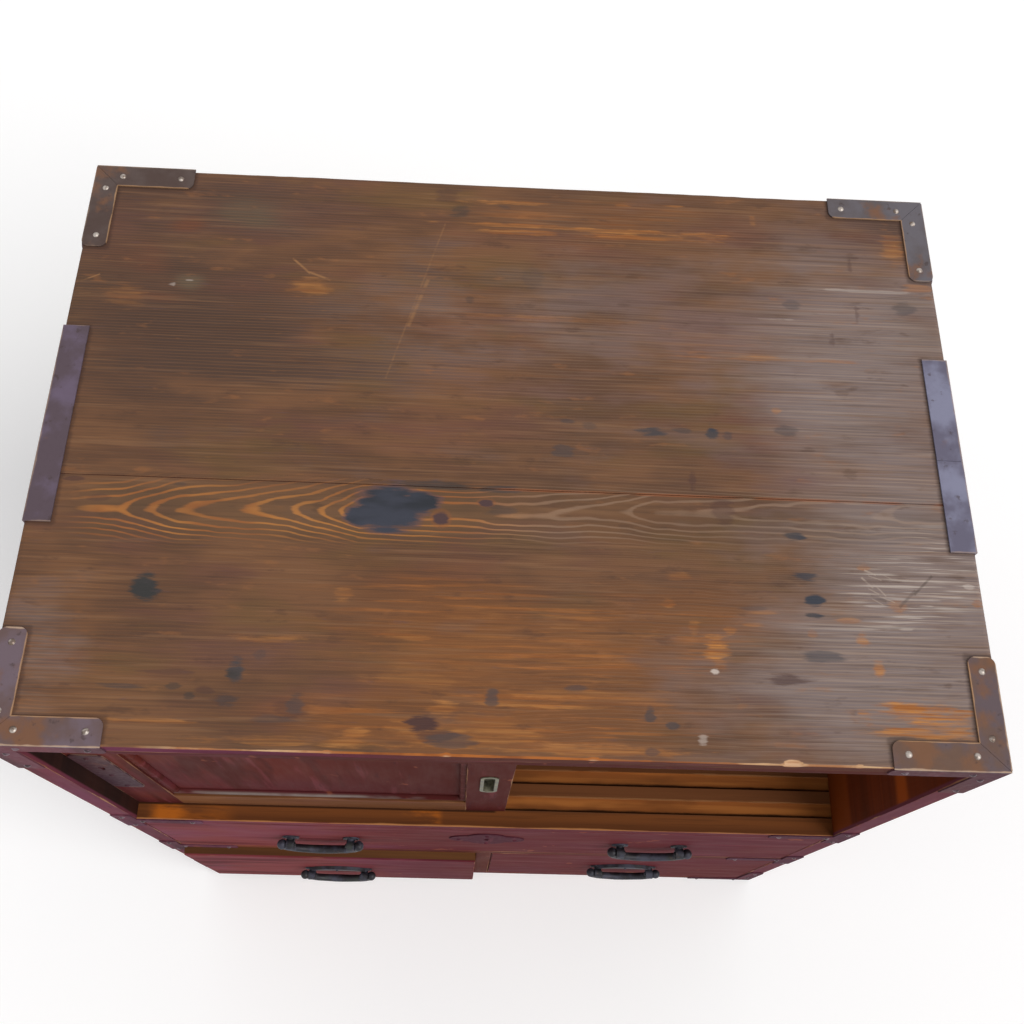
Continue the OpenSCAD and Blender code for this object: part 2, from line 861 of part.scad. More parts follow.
// Tongue on a door's foot, between x0 and x1
tongue_y0 = (door_t - groove_w) / 2 + door_gap;
tongue_y1 = (door_t + groove_w) / 2 - door_gap;
module foot_tongue(x0, x1) {
  slab([x0, tongue_y0, bay_z0 - sill_groove_d + run_gap], [x1, tongue_y1, door_z0 + cut]);
}

// Tongue on a door's head, between x0 and x1
module head_tongue(x0, x1) {
  slab([x0, tongue_y0, door_z1 - cut], [x1, tongue_y1, bay_z1 + door_engage]);
}

frame_x0 = door_x0 + lock_stile_w;
frame_x1 = door_x1 - pull_stile_w;
frame_z0 = door_z0 + door_rail_w;
frame_z1 = door_z1 - door_rail_w;
rail_tenon_l = 20;
rail_tenon_h = 24;
rail_tenon_back = 1;
panel_y0 = panel_set_back;

// Space of the panel and its groove; grow is the play of the panel in the groove
module panel_space(grow) {
  d = panel_groove_d + grow;
  slab([frame_x0 - d, panel_y0 - grow, frame_z0 - d],
       [frame_x1 + d, panel_y0 + door_panel_t + grow, frame_z1 + d]);
}

// Tenons of a door rail that starts at height z
module rail_tenons(z, grow) {
  y0 = (door_t - tenon_t) / 2 + rail_tenon_back;
  zc = z + door_rail_w / 2;
  for (x = [[frame_x0 - rail_tenon_l, frame_x0 + cut], [frame_x1 - cut, frame_x1 + rail_tenon_l]]) {
    slab([x[0] - grow, y0 - grow, zc - rail_tenon_h / 2 - grow],
         [x[1] + grow, y0 + tenon_t + grow, zc + rail_tenon_h / 2 + grow]);
  }
}

module door_stile(x0, x1) {
  difference() {
    union() {
      slab([x0, 0, door_z0], [x1, door_t, door_z1]);
      foot_tongue(x0, x1);
      head_tongue(x0, x1);
    }
    panel_space(joint_gap);
    rail_tenons(door_z0, joint_gap);
    rail_tenons(frame_z1, joint_gap);
  }
}

module door_pull_stile() {
  difference() {
    door_stile(frame_x1, door_x1);
    pull_space(joint_gap);
  }
}

module door_rail(z) {
  difference() {
    union() {
      slab([frame_x0, 0, z], [frame_x1, door_t, z + door_rail_w]);
      rail_tenons(z, 0);
      children();
    }
    panel_space(joint_gap);
  }
}

module door_bottom_rail() {
  door_rail(door_z0) foot_tongue(frame_x0, frame_x1);
}

module door_top_rail() {
  door_rail(frame_z1) head_tongue(frame_x0, frame_x1);
}

module door_panel() {
  panel_space(0);
}

// Section of the bead: a quarter round whose foot lies on the panel
module bead_section() {
  intersection() {
    square([bead_w, bead_h]);
    circle(max(bead_w, bead_h));
  }
}

// Four mitred strips round the panel
module door_bead() {
  w = frame_x1 - frame_x0 - 2 * joint_gap;
  h = frame_z1 - frame_z0 - 2 * joint_gap;
  translate([(frame_x0 + frame_x1) / 2, panel_y0, (frame_z0 + frame_z1) / 2]) rotate([90, 0, 0])
    for (a = [0, 90]) for (turn = [0, 180]) rotate(a + turn)
      mitred_strip(a == 0 ? w : h, a == 0 ? h : w);
}

// One strip, l long, whose outer edge lies half of span from the middle
module mitred_strip(l, span) {
  translate([-l / 2, -span / 2, 0]) difference() {
    rotate([90, 0, 90]) linear_extrude(l) bead_section();
    for (x = [0, l]) translate([x, 0, -cut]) mirror([x > 0 ? 1 : 0, 0, 0])
      linear_extrude(bead_h + 2 * cut) translate([joint_gap / 2, 0])
        polygon([[-cut, -cut], [bead_w + cut, bead_w + cut], [-cut, bead_w + cut]]);
  }
}

// Keyhole, cut d deep from a face at y = 0, through any plate on it
keyhole_leg = 3 * keyhole_r;
module keyhole_cut(x, z, d) {
  translate([x, d, z]) rotate([90, 0, 0]) cylinder(r = keyhole_r, h = d + iron_t + cut);
  slab([x - keyhole_r / 2, -iron_t - cut, z - keyhole_leg], [x + keyhole_r / 2, d, z]);
}

// Corner of the door's lock plate, and the heights on it of its keyhole and middle nail
door_plate_x = door_x0 + 2;
door_plate_z = (bay_z0 + bay_z1 - door_plate_h) / 2 + door_plate_rise;
door_keyhole_x = door_plate_x + door_plate_w / 2;
door_keyhole_z = door_plate_z + 0.64 * door_plate_h;
door_nail_z = 0.42 * door_plate_h;
// Wood left behind the blind keyhole of the door
keyhole_stop = 4;

module door_lock_plate() {
  difference() {
    union() {
      translate([door_plate_x, 0, door_plate_z]) rotate([90, 0, 0])
        linear_extrude(iron_t) union() {
          translate([0, iron_end_r]) square([door_plate_w, door_plate_h - 2 * iron_end_r]);
          translate([iron_end_r, 0]) square([door_plate_w - 2 * iron_end_r, door_plate_h]);
          for (x = [iron_end_r, door_plate_w - iron_end_r])
            for (z = [iron_end_r, door_plate_h - iron_end_r]) translate([x, z]) circle(iron_end_r);
        }
      for (z = [bar_nail_end, door_nail_z, door_plate_h - bar_nail_end])
        translate([door_keyhole_x, -iron_t, door_plate_z + z]) rotate([90, 0, 0])
          cylinder(r1 = nail_r, r2 = nail_r / 2, h = nail_dome);
    }
    keyhole_cut(door_keyhole_x, door_keyhole_z, door_t);
  }
}

pull_x = (frame_x1 + door_x1) / 2;
pull_z = (bay_z0 + bay_z1) / 2 + pull_rise;
pull_rim = 2;
pull_cup_w = pull_w - 2 * pull_rim;
pull_cup_h = pull_h - 2 * pull_rim;

// Cup of the finger pull, an upright slot with round ends; grow widens its recess
module pull_cup(w, h, d) {
  for (s = [-1, 1]) translate([0, 0, s * (h - w) / 2]) rotate([-90, 0, 0]) cylinder(r = w / 2, h = d);
  slab([-w / 2, 0, -(h - w) / 2], [w / 2, d, (h - w) / 2]);
}

module pull_space(grow) {
  translate([pull_x, -cut, pull_z])
    pull_cup(pull_cup_w + 2 * grow, pull_cup_h + 2 * grow, pull_d + cut + grow);
}

module door_pull() {
  wall = 1;
  translate([pull_x, 0, pull_z]) difference() {
    union() {
      translate([0, -iron_t, 0]) pull_cup(pull_w, pull_h, iron_t);
      pull_cup(pull_cup_w, pull_cup_h, pull_d);
    }
    translate([0, -iron_t - cut, 0])
      pull_cup(pull_cup_w - 2 * wall, pull_cup_h - 2 * wall, pull_d + cut + iron_t - wall);
  }
}

module front_door_left_stile() {
  color(lacquer) in_track(0) difference() {
    door_stile(door_x0, frame_x0);
    keyhole_cut(door_keyhole_x, door_keyhole_z, door_t - keyhole_stop);
  }
}

module front_door_right_stile() {
  color(lacquer) in_track(0) door_pull_stile();
}

module front_door_top_rail() {
  color(lacquer) in_track(0) door_top_rail();
}

module front_door_bottom_rail() {
  color(lacquer) in_track(0) door_bottom_rail();
}

module front_door_panel() {
  color(lacquer) in_track(0) door_panel();
}

module front_door_bead() {
  color(lacquer) in_track(0) door_bead();
}

module front_door_lock_plate() {
  color(iron) in_track(0) door_lock_plate();
}

module front_door_pull() {
  color(pale_metal) in_track(0) door_pull();
}

module rear_door_left_stile() {
  color(lacquer) in_track(1) door_stile(door_x0, frame_x0);
}

module rear_door_right_stile() {
  color(lacquer) in_track(1) door_pull_stile();
}

module rear_door_top_rail() {
  color(lacquer) in_track(1) door_top_rail();
}

module rear_door_bottom_rail() {
  color(lacquer) in_track(1) door_bottom_rail();
}

module rear_door_panel() {
  color(lacquer) in_track(1) door_panel();
}

module rear_door_bead() {
  color(lacquer) in_track(1) door_bead();
}

module rear_door_pull() {
  color(pale_metal) in_track(1) door_pull();
}

// ---------------------------------------------------------------- drawers

// A drawer's box: [left, right, foot, head], with its gaps taken off the opening
function drawer_box(x0, x1, z0, z1) =
  [x0 + drawer_side_gap, x1 - drawer_side_gap, z0 + run_gap, z1 - drawer_top_gap];
upper_box = drawer_box(-inner_x, inner_x, upper_z0, upper_z1);
left_box = drawer_box(-inner_x, -divider_t / 2, lower_z0, lower_z1);
right_box = drawer_box(divider_t / 2, inner_x, lower_z0, lower_z1);
stop_gap = 0.5;
drawer_back_y = back_in_y - stop_gap;

// Heights of the corner fingers of a drawer, every other step, first or second
function finger_z(b, i) =
  let (z0 = b[2] + drawer_bottom_t) z0 + (b[3] - z0) * i / finger_steps;
module fingers(b, first, x0, x1, y0, y1, grow) {
  for (i = [first:2:finger_steps - 1]) {
    slab([x0, y0, finger_z(b, i) - grow], [x1, y1, finger_z(b, i + 1) + grow]);
  }
}

// Sockets in the front for both side boards' fingers
module front_sockets(b, grow) {
  y0 = front_y + front_t - finger_d - grow;
  y1 = front_y + front_t + cut;
  fingers(b, 1, b[0] - cut, b[0] + drawer_side_t + grow, y0, y1, grow);
  fingers(b, 1, b[1] - drawer_side_t - grow, b[1] + cut, y0, y1, grow);
}

// Board from lo to hi with the four edges of its front face eased by c
module eased_board(lo, hi, c) {
  d = hi[1] - lo[1];
  intersection() {
    translate([lo[0], lo[1], lo[2]]) linear_extrude(hi[2] - lo[2]) let (w = hi[0] - lo[0])
      polygon([[0, c], [c, 0], [w - c, 0], [w, c], [w, d], [0, d]]);
    translate([lo[0], lo[1], lo[2]]) rotate([90, 0, 90])
      linear_extrude(hi[0] - lo[0]) let (h = hi[2] - lo[2])
        polygon([[c, 0], [d, 0], [d, h], [c, h], [0, h - c], [0, c]]);
  }
}

module drawer_front(b) {
  difference() {
    eased_board([b[0], front_y, b[2]], [b[1], front_y + front_t, b[3]], front_ease);
    front_sockets(b, joint_gap);
    slab([b[0] - cut, front_y + front_t - finger_d, b[2] - cut],
         [b[1] + cut, front_y + front_t + cut, b[2] + drawer_bottom_t]);
  }
}

module drawer_side(b, s) {
  x0 = s < 0 ? b[0] : b[1] - drawer_side_t;
  x1 = x0 + drawer_side_t;
  z0 = b[2] + drawer_bottom_t;
  difference() {
    union() {
      slab([x0, front_y + front_t, z0], [x1, drawer_back_y, b[3]]);
      fingers(b, 1, x0, x1, front_y + front_t - finger_d, front_y + front_t + cut, 0);
    }
    fingers(b, 1, x0 - cut, x1 + cut, drawer_back_y - drawer_back_t, drawer_back_y + cut, 0);
  }
}

module drawer_back(b) {
  z0 = b[2] + drawer_bottom_t;
  y0 = drawer_back_y - drawer_back_t;
  slab([b[0] + drawer_side_t, y0, z0], [b[1] - drawer_side_t, drawer_back_y, b[3]]);
  fingers(b, 1, b[0], b[0] + drawer_side_t + cut, y0, drawer_back_y, 0);
  fingers(b, 1, b[1] - drawer_side_t - cut, b[1], y0, drawer_back_y, 0);
}

module drawer_bottom(b) {
  slab([b[0], front_y + front_t - finger_d, b[2]], [b[1], drawer_back_y, b[2] + drawer_bottom_t]);
}

function box_mid_z(b) = (b[2] + b[3]) / 2;

// Puts a handle's child on a drawer front at x, at the front's middle height
module at_handle(b, x) {
  translate([x, front_y, box_mid_z(b)]) children();
}

module handle_bail(b, x) {
  at_handle(b, x) translate([0, -pivot_off, 0]) bail(bail_span, bail_drop, bail_mid_r);
}

// Upper drawer

upper_lock_z = upper_z0 + lock_z;
module upper_drawer_front() {
  color(lacquer) difference() {
    drawer_front(upper_box);
    for (s = [-1, 1]) at_handle(upper_box, s * handle_x) post_holes(bail_span, front_t);
    translate([0, front_y, 0]) keyhole_cut(0, upper_lock_z, front_t + cut);
  }
}

module upper_drawer_side_left() {
  color(raw_wood) drawer_side(upper_box, -1);
}

module upper_drawer_side_right() {
  color(raw_wood) drawer_side(upper_box, 1);
}

module upper_drawer_back() {
  color(raw_wood) drawer_back(upper_box);
}

module upper_drawer_bottom() {
  color(raw_wood) drawer_bottom(upper_box);
}

// Four-lobed plate round the keyhole
module upper_drawer_lock_plate() {
  color(iron) translate([0, front_y, 0]) difference() {
    translate([0, 0, upper_lock_z]) {
      rotate([90, 0, 0]) linear_extrude(iron_t) {
        for (s = [-1, 1]) {
          translate([s * lobe_x, 0]) circle(lobe_r);
          translate([0, s * lobe_z]) circle(lobe_r);
        }
      }
      for (s = [-1, 1]) translate([s * (lobe_x + lobe_r / 2), -iron_t, 0])
        rotate([90, 0, 0]) cylinder(r1 = nail_r, r2 = nail_r / 2, h = nail_dome);
      for (s = [-1, 1]) translate([0, -iron_t, s * (lobe_z + lobe_r / 2)])
        rotate([90, 0, 0]) cylinder(r1 = nail_r, r2 = nail_r / 2, h = nail_dome);
    }
    keyhole_cut(0, upper_lock_z, front_t + cut);
  }
}

// Planes of the lock behind the drawer front
lock_y = front_y + front_t;
bolt_y0 = lock_y + lock_wall + bolt_play;
bolt_y1 = bolt_y0 + bolt_t;
bolt_top = upper_box[3] - bolt_play;
bolt_foot = upper_lock_z - keyhole_r - bolt_w / 2;
// Room behind the bolt in its case, place and height of the strap, and play of the key's notch
case_room = 3;
strap_drop = 22;
strap_h = 12;
notch_play = 1;

// Room of the bolt, wider by grow all round, from z0 to z1
module bolt_room(grow, z0, z1) {
  slab([-bolt_w / 2 - grow, bolt_y0 - grow, z0], [bolt_w / 2 + grow, bolt_y1 + grow, z1]);
}

// Case nailed to the back of the drawer front, and a strap that guides the bolt's head
module upper_drawer_lock_case() {
  half = lock_case_w / 2;
  case_y = bolt_y1 + bolt_play + case_room + lock_wall;
  strap_y = bolt_y1 + bolt_play + lock_wall;
  strap_z = upper_box[3] - strap_drop;
  color(iron) {
    difference() {
      slab([-half, lock_y, upper_lock_z - half], [half, case_y, upper_lock_z + half]);
      slab([-half + lock_wall, lock_y - cut, upper_lock_z - half + lock_wall],
           [half - lock_wall, case_y - lock_wall, upper_lock_z + half - lock_wall]);
      bolt_room(bolt_play, upper_lock_z, upper_lock_z + half + cut);
    }
    difference() {
      slab([-half / 2 - lock_wall, lock_y, strap_z], [half / 2 + lock_wall, strap_y, strap_z + strap_h]);
      bolt_room(bolt_play, strap_z - cut, strap_z + strap_h + cut);
    }
  }
}

// Bolt that the key lifts into the sill, with the notch that the key catches
module upper_drawer_lock_bolt() {
  color(black_iron) difference() {
    bolt_room(0, bolt_foot, bolt_top);
    translate([0, bolt_y1 + cut, upper_lock_z]) rotate([90, 0, 0])
      cylinder(r = keyhole_r + notch_play, h = bolt_t + 2 * cut);
  }
}

module upper_drawer_posts() {
  color(black_iron) for (s = [-1, 1]) at_handle(upper_box, s * handle_x)
    post_pair(bail_span, front_t, pivot_off);
}

module upper_bail_left() {
  color(black_iron) handle_bail(upper_box, -handle_x);
}

module upper_bail_right() {
  color(black_iron) handle_bail(upper_box, handle_x);
}

// Lower drawers: o is how far the drawer stands open

module lower_front(b, x, o) {
  color(lacquer) translate([0, -o, 0]) difference() {
    drawer_front(b);
    at_handle(b, x) post_holes(bail_span, front_t);
  }
}

module lower_posts(b, x, o) {
  color(black_iron) translate([0, -o, 0]) at_handle(b, x) {
    post_pair(bail_span, front_t, pivot_off);
    arched_plate(bail_span);
  }
}

module lower_left_front() {
  lower_front(left_box, -handle_x, left_drawer_open);
}

module lower_left_sides() {
  color(raw_wood) translate([0, -left_drawer_open, 0])
    for (s = [-1, 1]) drawer_side(left_box, s);
}

module lower_left_back() {
  color(raw_wood) translate([0, -left_drawer_open, 0]) drawer_back(left_box);
}

module lower_left_bottom() {
  color(raw_wood) translate([0, -left_drawer_open, 0]) drawer_bottom(left_box);
}

module lower_left_posts() {
  lower_posts(left_box, -handle_x, left_drawer_open);
}

module lower_left_bail() {
  color(black_iron) translate([0, -left_drawer_open, 0]) handle_bail(left_box, -handle_x);
}

module lower_right_front() {
  lower_front(right_box, handle_x, 0);
}

module lower_right_sides() {
  color(raw_wood) for (s = [-1, 1]) drawer_side(right_box, s);
}

module lower_right_back() {
  color(raw_wood) drawer_back(right_box);
}

module lower_right_bottom() {
  color(raw_wood) drawer_bottom(right_box);
}

module lower_right_posts() {
  lower_posts(right_box, handle_x, 0);
}

module lower_right_bail() {
  color(black_iron) handle_bail(right_box, handle_x);
}

side_panel_left();
side_panel_right();
top_board_front();
top_board_rear();
bottom_board();
back_boards();
door_sill();
bay_floor_board();
door_head_rail();
drawer_rail();
dust_board();
divider_post();
divider_board();
corner_irons_front();
corner_irons_back();
edge_plates();
front_irons();
top_nails();
face_nails();
carry_posts();
carry_bail_left();
carry_bail_right();
front_door_left_stile();
front_door_right_stile();
front_door_top_rail();
front_door_bottom_rail();
front_door_panel();
front_door_bead();
front_door_lock_plate();
front_door_pull();
rear_door_left_stile();
rear_door_right_stile();
rear_door_top_rail();
rear_door_bottom_rail();
rear_door_panel();
rear_door_bead();
rear_door_pull();
upper_drawer_front();
upper_drawer_side_left();
upper_drawer_side_right();
upper_drawer_back();
upper_drawer_bottom();
upper_drawer_lock_plate();
upper_drawer_lock_case();
upper_drawer_lock_bolt();
upper_drawer_posts();
upper_bail_left();
upper_bail_right();
lower_left_front();
lower_left_sides();
lower_left_back();
lower_left_bottom();
lower_left_posts();
lower_left_bail();
lower_right_front();
lower_right_sides();
lower_right_back();
lower_right_bottom();
lower_right_posts();
lower_right_bail();
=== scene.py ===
from math import atan2, hypot, pi, radians

import bmesh
import bpy
import numpy as np
from mathutils import Matrix, Vector


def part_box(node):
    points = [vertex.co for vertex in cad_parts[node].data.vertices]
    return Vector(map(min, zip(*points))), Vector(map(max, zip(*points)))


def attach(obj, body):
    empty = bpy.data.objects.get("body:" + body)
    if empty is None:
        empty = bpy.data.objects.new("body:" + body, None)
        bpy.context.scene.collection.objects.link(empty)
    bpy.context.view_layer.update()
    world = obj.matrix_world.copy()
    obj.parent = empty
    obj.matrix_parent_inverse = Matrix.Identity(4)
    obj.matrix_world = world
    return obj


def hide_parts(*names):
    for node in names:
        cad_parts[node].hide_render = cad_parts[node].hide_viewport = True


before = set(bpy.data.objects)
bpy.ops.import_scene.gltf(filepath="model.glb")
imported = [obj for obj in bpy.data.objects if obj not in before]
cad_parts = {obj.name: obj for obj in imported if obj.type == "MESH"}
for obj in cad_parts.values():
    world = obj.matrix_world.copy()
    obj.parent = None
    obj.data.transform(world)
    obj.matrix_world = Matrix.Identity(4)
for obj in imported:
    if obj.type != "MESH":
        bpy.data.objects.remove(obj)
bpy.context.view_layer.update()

MM = 0.001

# Planes of the carcase and of the inner faces of its side panels, in metres
FRONT_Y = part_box("top_board_front")[0].y
TOP_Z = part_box("top_board_front")[1].z
SEAM_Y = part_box("top_board_front")[1].y
HALF_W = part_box("top_board_front")[1].x
INNER_X = HALF_W - 18 * MM
# Length and width of a leg of the corner irons
LEG, LEG_W = 81 * MM, 19 * MM
# Whole steps after which a chance field comes round again
ROUND = 97
# Points of a mesh that are this close are one
ONE_POINT = 0.002 * MM
# Angles from which an edge is shaded sharp, from which it is eased, and up to which two faces of
# a board are one flat
SHARP_FROM, EASED_FROM, ONE_FLAT = radians(40), radians(35), radians(0.5)


# ---- numbers


def srgb(red, green, blue):
    """A colour written as 0 to 255 on a screen, as the linear colour a shader takes."""
    c = np.array([red, green, blue]) / 255
    linear = np.where(c <= 0.04045, c / 12.92, ((c + 0.055) / 1.055) ** 2.4)
    return (*linear, 1.0)


def drift(x, y, seed):
    """Smooth chance field from 0 to 1: one random value at each whole step of x and y,
    blended between the steps by 3f^2 - 2f^3 of the fraction f."""
    table = np.random.default_rng(seed).random((ROUND, ROUND))
    xi, yi = np.floor(x).astype(int), np.floor(y).astype(int)
    fx, fy = x - xi, y - yi
    fx, fy = fx * fx * (3 - 2 * fx), fy * fy * (3 - 2 * fy)
    xi, yi, xn, yn = xi % ROUND, yi % ROUND, (xi + 1) % ROUND, (yi + 1) % ROUND
    low = table[xi, yi] * (1 - fx) + table[xn, yi] * fx
    high = table[xi, yn] * (1 - fx) + table[xn, yn] * fx
    return low * (1 - fy) + high * fy


def step(value, low, high):
    """0 below low and 1 above high, with a smooth rise between them."""
    f = np.clip((value - low) / (high - low), 0, 1)
    return f * f * (3 - 2 * f)


# ---- building materials


class Finish:
    """A material in the making: each method adds a node and gives back its output. low and high
    are the corners of the box of the piece that it goes on."""

    def __init__(self, name, low=None, high=None):
        self.low, self.high = low, high
        self.material = bpy.data.materials.new(name)
        self.material.use_nodes = True
        self.tree = self.material.node_tree
        self.shader = self.tree.nodes["Principled BSDF"]
        self.place = self.node("ShaderNodeTexCoord", {}, "Object")
        self.grain = self.place

    def node(self, kind, inputs, output=0, **settings):
        """A new node with its inputs and settings. Gives back one of its outputs."""
        made = self.tree.nodes.new(kind)
        for key, value in settings.items():
            setattr(made, key, value)
        for key, value in inputs.items():
            self.put(made.inputs[key], value)
        return made.outputs[output]

    def put(self, socket, value):
        """Links an output to a socket, or sets the socket to a value."""
        if isinstance(value, bpy.types.NodeSocket):
            self.tree.links.new(value, socket)
        else:
            socket.default_value = value

    def set(self, **values):
        """Sets the shader's own sockets by name."""
        for key, value in values.items():
            self.put(self.shader.inputs[key.replace("_", " ")], value)

    def math(self, operation, *values):
        """A sum of the given kind."""
        return self.node("ShaderNodeMath", dict(enumerate(values)), operation=operation)

    def times(self, *values):
        """All values multiplied."""
        result = values[0]
        for value in values[1:]:
            result = self.math("MULTIPLY", result, value)
        return result

    def most(self, one, other):
        """The greater of two values."""
        return self.math("MAXIMUM", one, other)

    def less(self, value, amount):
        """A value less an amount."""
        return self.math("SUBTRACT", value, amount)

    def off(self, value, place):
        """How far a value is from a place, to either side."""
        return self.math("ABSOLUTE", self.less(value, place))

    def mix(self, factor, first, second):
        """Two colours mixed. One of three numbers is as on a screen, from 0 to 255."""
        inputs = {"Factor": factor}
        for end, colour in (("A", first), ("B", second)):
            on_screen = isinstance(colour, tuple) and len(colour) == 3
            inputs[end] = srgb(*colour) if on_screen else colour
        return self.node("ShaderNodeMix", inputs, "Result", data_type="RGBA")

    def noise(self, x, y, z, detail=3.0, rough=0.55, warp=0.0, shift=0.0):
        """Noise with x, y and z waves to the metre along the three axes, 0 to 1."""
        moved = (shift, shift * 0.7, shift * 1.3)
        place = self.node("ShaderNodeMapping", {"Vector": self.grain, "Scale": (x, y, z), "Location": moved})
        inputs = {"Vector": place, "Scale": 1.0, "Detail": detail, "Roughness": rough, "Distortion": warp}
        return self.node("ShaderNodeTexNoise", inputs, "Fac")

    def rise(self, value, low, high, top=1.0, bottom=0.0):
        """bottom where value is low, top where it is high, smooth between."""
        inputs = {"Value": value, "From Min": low, "From Max": high, "To Min": bottom, "To Max": top}
        return self.node("ShaderNodeMapRange", inputs, "Result", interpolation_type="SMOOTHSTEP")

    def fall(self, value, low, high, top=1.0):
        """top where value is low, 0 where it is high, smooth between."""
        return self.rise(value, low, high, 0.0, top)

    def patches(self, waves, low, high, top=1.0, shift=0.0, detail=3.0):
        """Share of the places where a noise of the given waves is high."""
        return self.rise(self.noise(*waves, detail=detail, shift=shift), low, high, top)

    def cloud(self, colour, other, waves, low, high, share=1.0, shift=0.0, detail=3.0):
        """A colour with patches of another over it."""
        return self.mix(self.patches(waves, low, high, share, shift, detail), colour, other)

    def stir(self, value, chance, size):
        """A value moved up or down by a noise, by size in all."""
        return self.math("ADD", value, self.times(self.less(chance, 0.5), size))

    def torn(self, value, chance, size, low, high, top=1.0):
        """A rise whose edge is torn by a noise."""
        return self.rise(self.stir(value, chance, size), low, high, top)

    def field(self, name):
        """The value that a mesh carries at its points under a name."""
        return self.node("ShaderNodeAttribute", {}, "Fac", attribute_name=name)

    def stroke(self, x0, y0, x1, y1, half_width):
        """Share of a straight stroke drawn on the top, both ends and half width in millimetres:
        a Mapping node lays it along its first axis and measures it in half widths."""
        laid = self.node("ShaderNodeMapping", {
            "Vector": self.place,
            "Location": ((x0 + x1) / 2 * MM, (y0 + y1) / 2 * MM, 0),
            "Rotation": (0, 0, atan2(y1 - y0, x1 - x0)),
            "Scale": (half_width * MM, half_width * MM, 1),
        }, vector_type="TEXTURE")
        along, across = self.split(laid)[:2]
        reach = hypot(x1 - x0, y1 - y0) / 2 / half_width
        past_end = self.less(self.math("ABSOLUTE", along), reach)
        return self.fall(self.most(past_end, self.math("ABSOLUTE", across)), 0.2, 1.2)

    def split(self, vector):
        """The three parts of a vector."""
        made = self.tree.nodes.new("ShaderNodeSeparateXYZ")
        self.put(made.inputs[0], vector)
        return made.outputs[0], made.outputs[1], made.outputs[2]

    def axes(self):
        """X, Y and Z in metres, in the frame of the chest."""
        return self.split(self.place)

    def arris(self):
        """Distance to the nearest edge of the piece's box. A place on the box lies on one face,
        so the middle one of its distances to the three pairs of faces is that to an edge."""
        gaps = []
        for value, start, end in zip(self.axes(), self.low, self.high):
            gaps.append(self.less((end - start) / 2, self.off(value, (start + end) / 2)))
        a, b, c = gaps
        return self.most(self.math("MINIMUM", a, b), self.math("MINIMUM", self.most(a, b), c))

    def next_board(self, height, move):
        """1 above a height, where another board lies: its noises are read from a place that is
        moved away."""
        above = self.rise(self.axes()[2], height - 0.1 * MM, height + 0.1 * MM)
        away = self.node("ShaderNodeVectorMath", {0: move, "Scale": above}, operation="SCALE")
        self.grain = self.node("ShaderNodeVectorMath", {0: self.grain, 1: away}, operation="ADD")
        return above

    def bump(self, height, depth):
        """Bump from a height of 0 to 1 that stands for depth metres."""
        return self.node("ShaderNodeBump", {"Distance": depth, "Height": height}, "Normal")


def stretched(axis, along, across):
    """Waves to the metre along the three axes for grain that runs along one of them."""
    return [along if i == "XYZ".index(axis) else across for i in range(3)]


# ---- lacquer and bare wood

RED = (117, 53, 55)
PLUM = (112, 54, 73)
DEEP = (79, 26, 29)
ROSE = (133, 70, 79)
CREAM = (214, 176, 134)
BARE_WOOD = ((158, 100, 48), (108, 66, 32))
# How much lighter the lightest fibres of bare wood are
LIGHTER = 1.35


def lacquer_colour(f, axis, red=RED, plum=PLUM, deep=DEEP):
    """Red lacquer gone plum in clouds, darker where it lies thick, and darker to the right, which
    leaves a painted sheen on the left; brushed along axis."""
    x = f.axes()[0]
    colour = f.cloud(red, plum, (5, 5, 5), 0.42, 0.62, shift=7.0)
    # Darker towards the right of the chest, which leaves a painted sheen on the left.
    left_sheen_falloff = f.rise(x, -240 * MM, -40 * MM, 0.9)
    thick_and_sheen_falloff = f.most(f.patches(stretched(axis, 5, 42), 0.46, 0.66, shift=12.0), left_sheen_falloff)
    colour = f.mix(f.times(thick_and_sheen_falloff, 0.85), colour, deep)
    colour = f.cloud(colour, ROSE, stretched(axis, 9, 90), 0.56, 0.72, 0.26, shift=19.0)
    colour = f.cloud(colour, (60, 28, 32), stretched(axis, 30, 240), 0.6, 0.74, 0.5, shift=17.0)
    return f.cloud(colour, (142, 80, 58), (36, 36, 36), 0.67, 0.73, 0.5, shift=23.0)


def bare_wood_colour(f, axis, pale, dark, bands=()):
    """Softwood gone brown with age, between the two colours, with grain along axis. bands are
    heights between which the wood has another colour."""
    band = f.noise(*stretched(axis, 1.6, 26), detail=4.0, rough=0.55, warp=0.3, shift=41.0)
    colour = f.mix(f.rise(band, 0.32, 0.68), dark, pale)
    colour = f.cloud(colour, dark, stretched(axis, 4, 190), 0.45, 0.75, 0.5, shift=44.0)
    light = (*(min(LIGHTER * c, 1.0) for c in srgb(*pale)[:3]), 1.0)
    colour = f.cloud(colour, light, stretched(axis, 8, 400), 0.56, 0.8, 0.4)
    soft = f.noise(6, 6, 30, shift=45.0)
    for bottom, top, band_colour in bands:
        height = f.stir(f.axes()[2], soft, 20 * MM)
        inside = f.times(f.rise(height, bottom, bottom + 14 * MM), f.fall(height, top - 14 * MM, top, 0.65))
        colour = f.mix(inside, colour, band_colour)
    return f.cloud(colour, (74, 46, 24), (11, 11, 11), 0.58, 0.8, 0.55, shift=47.0)


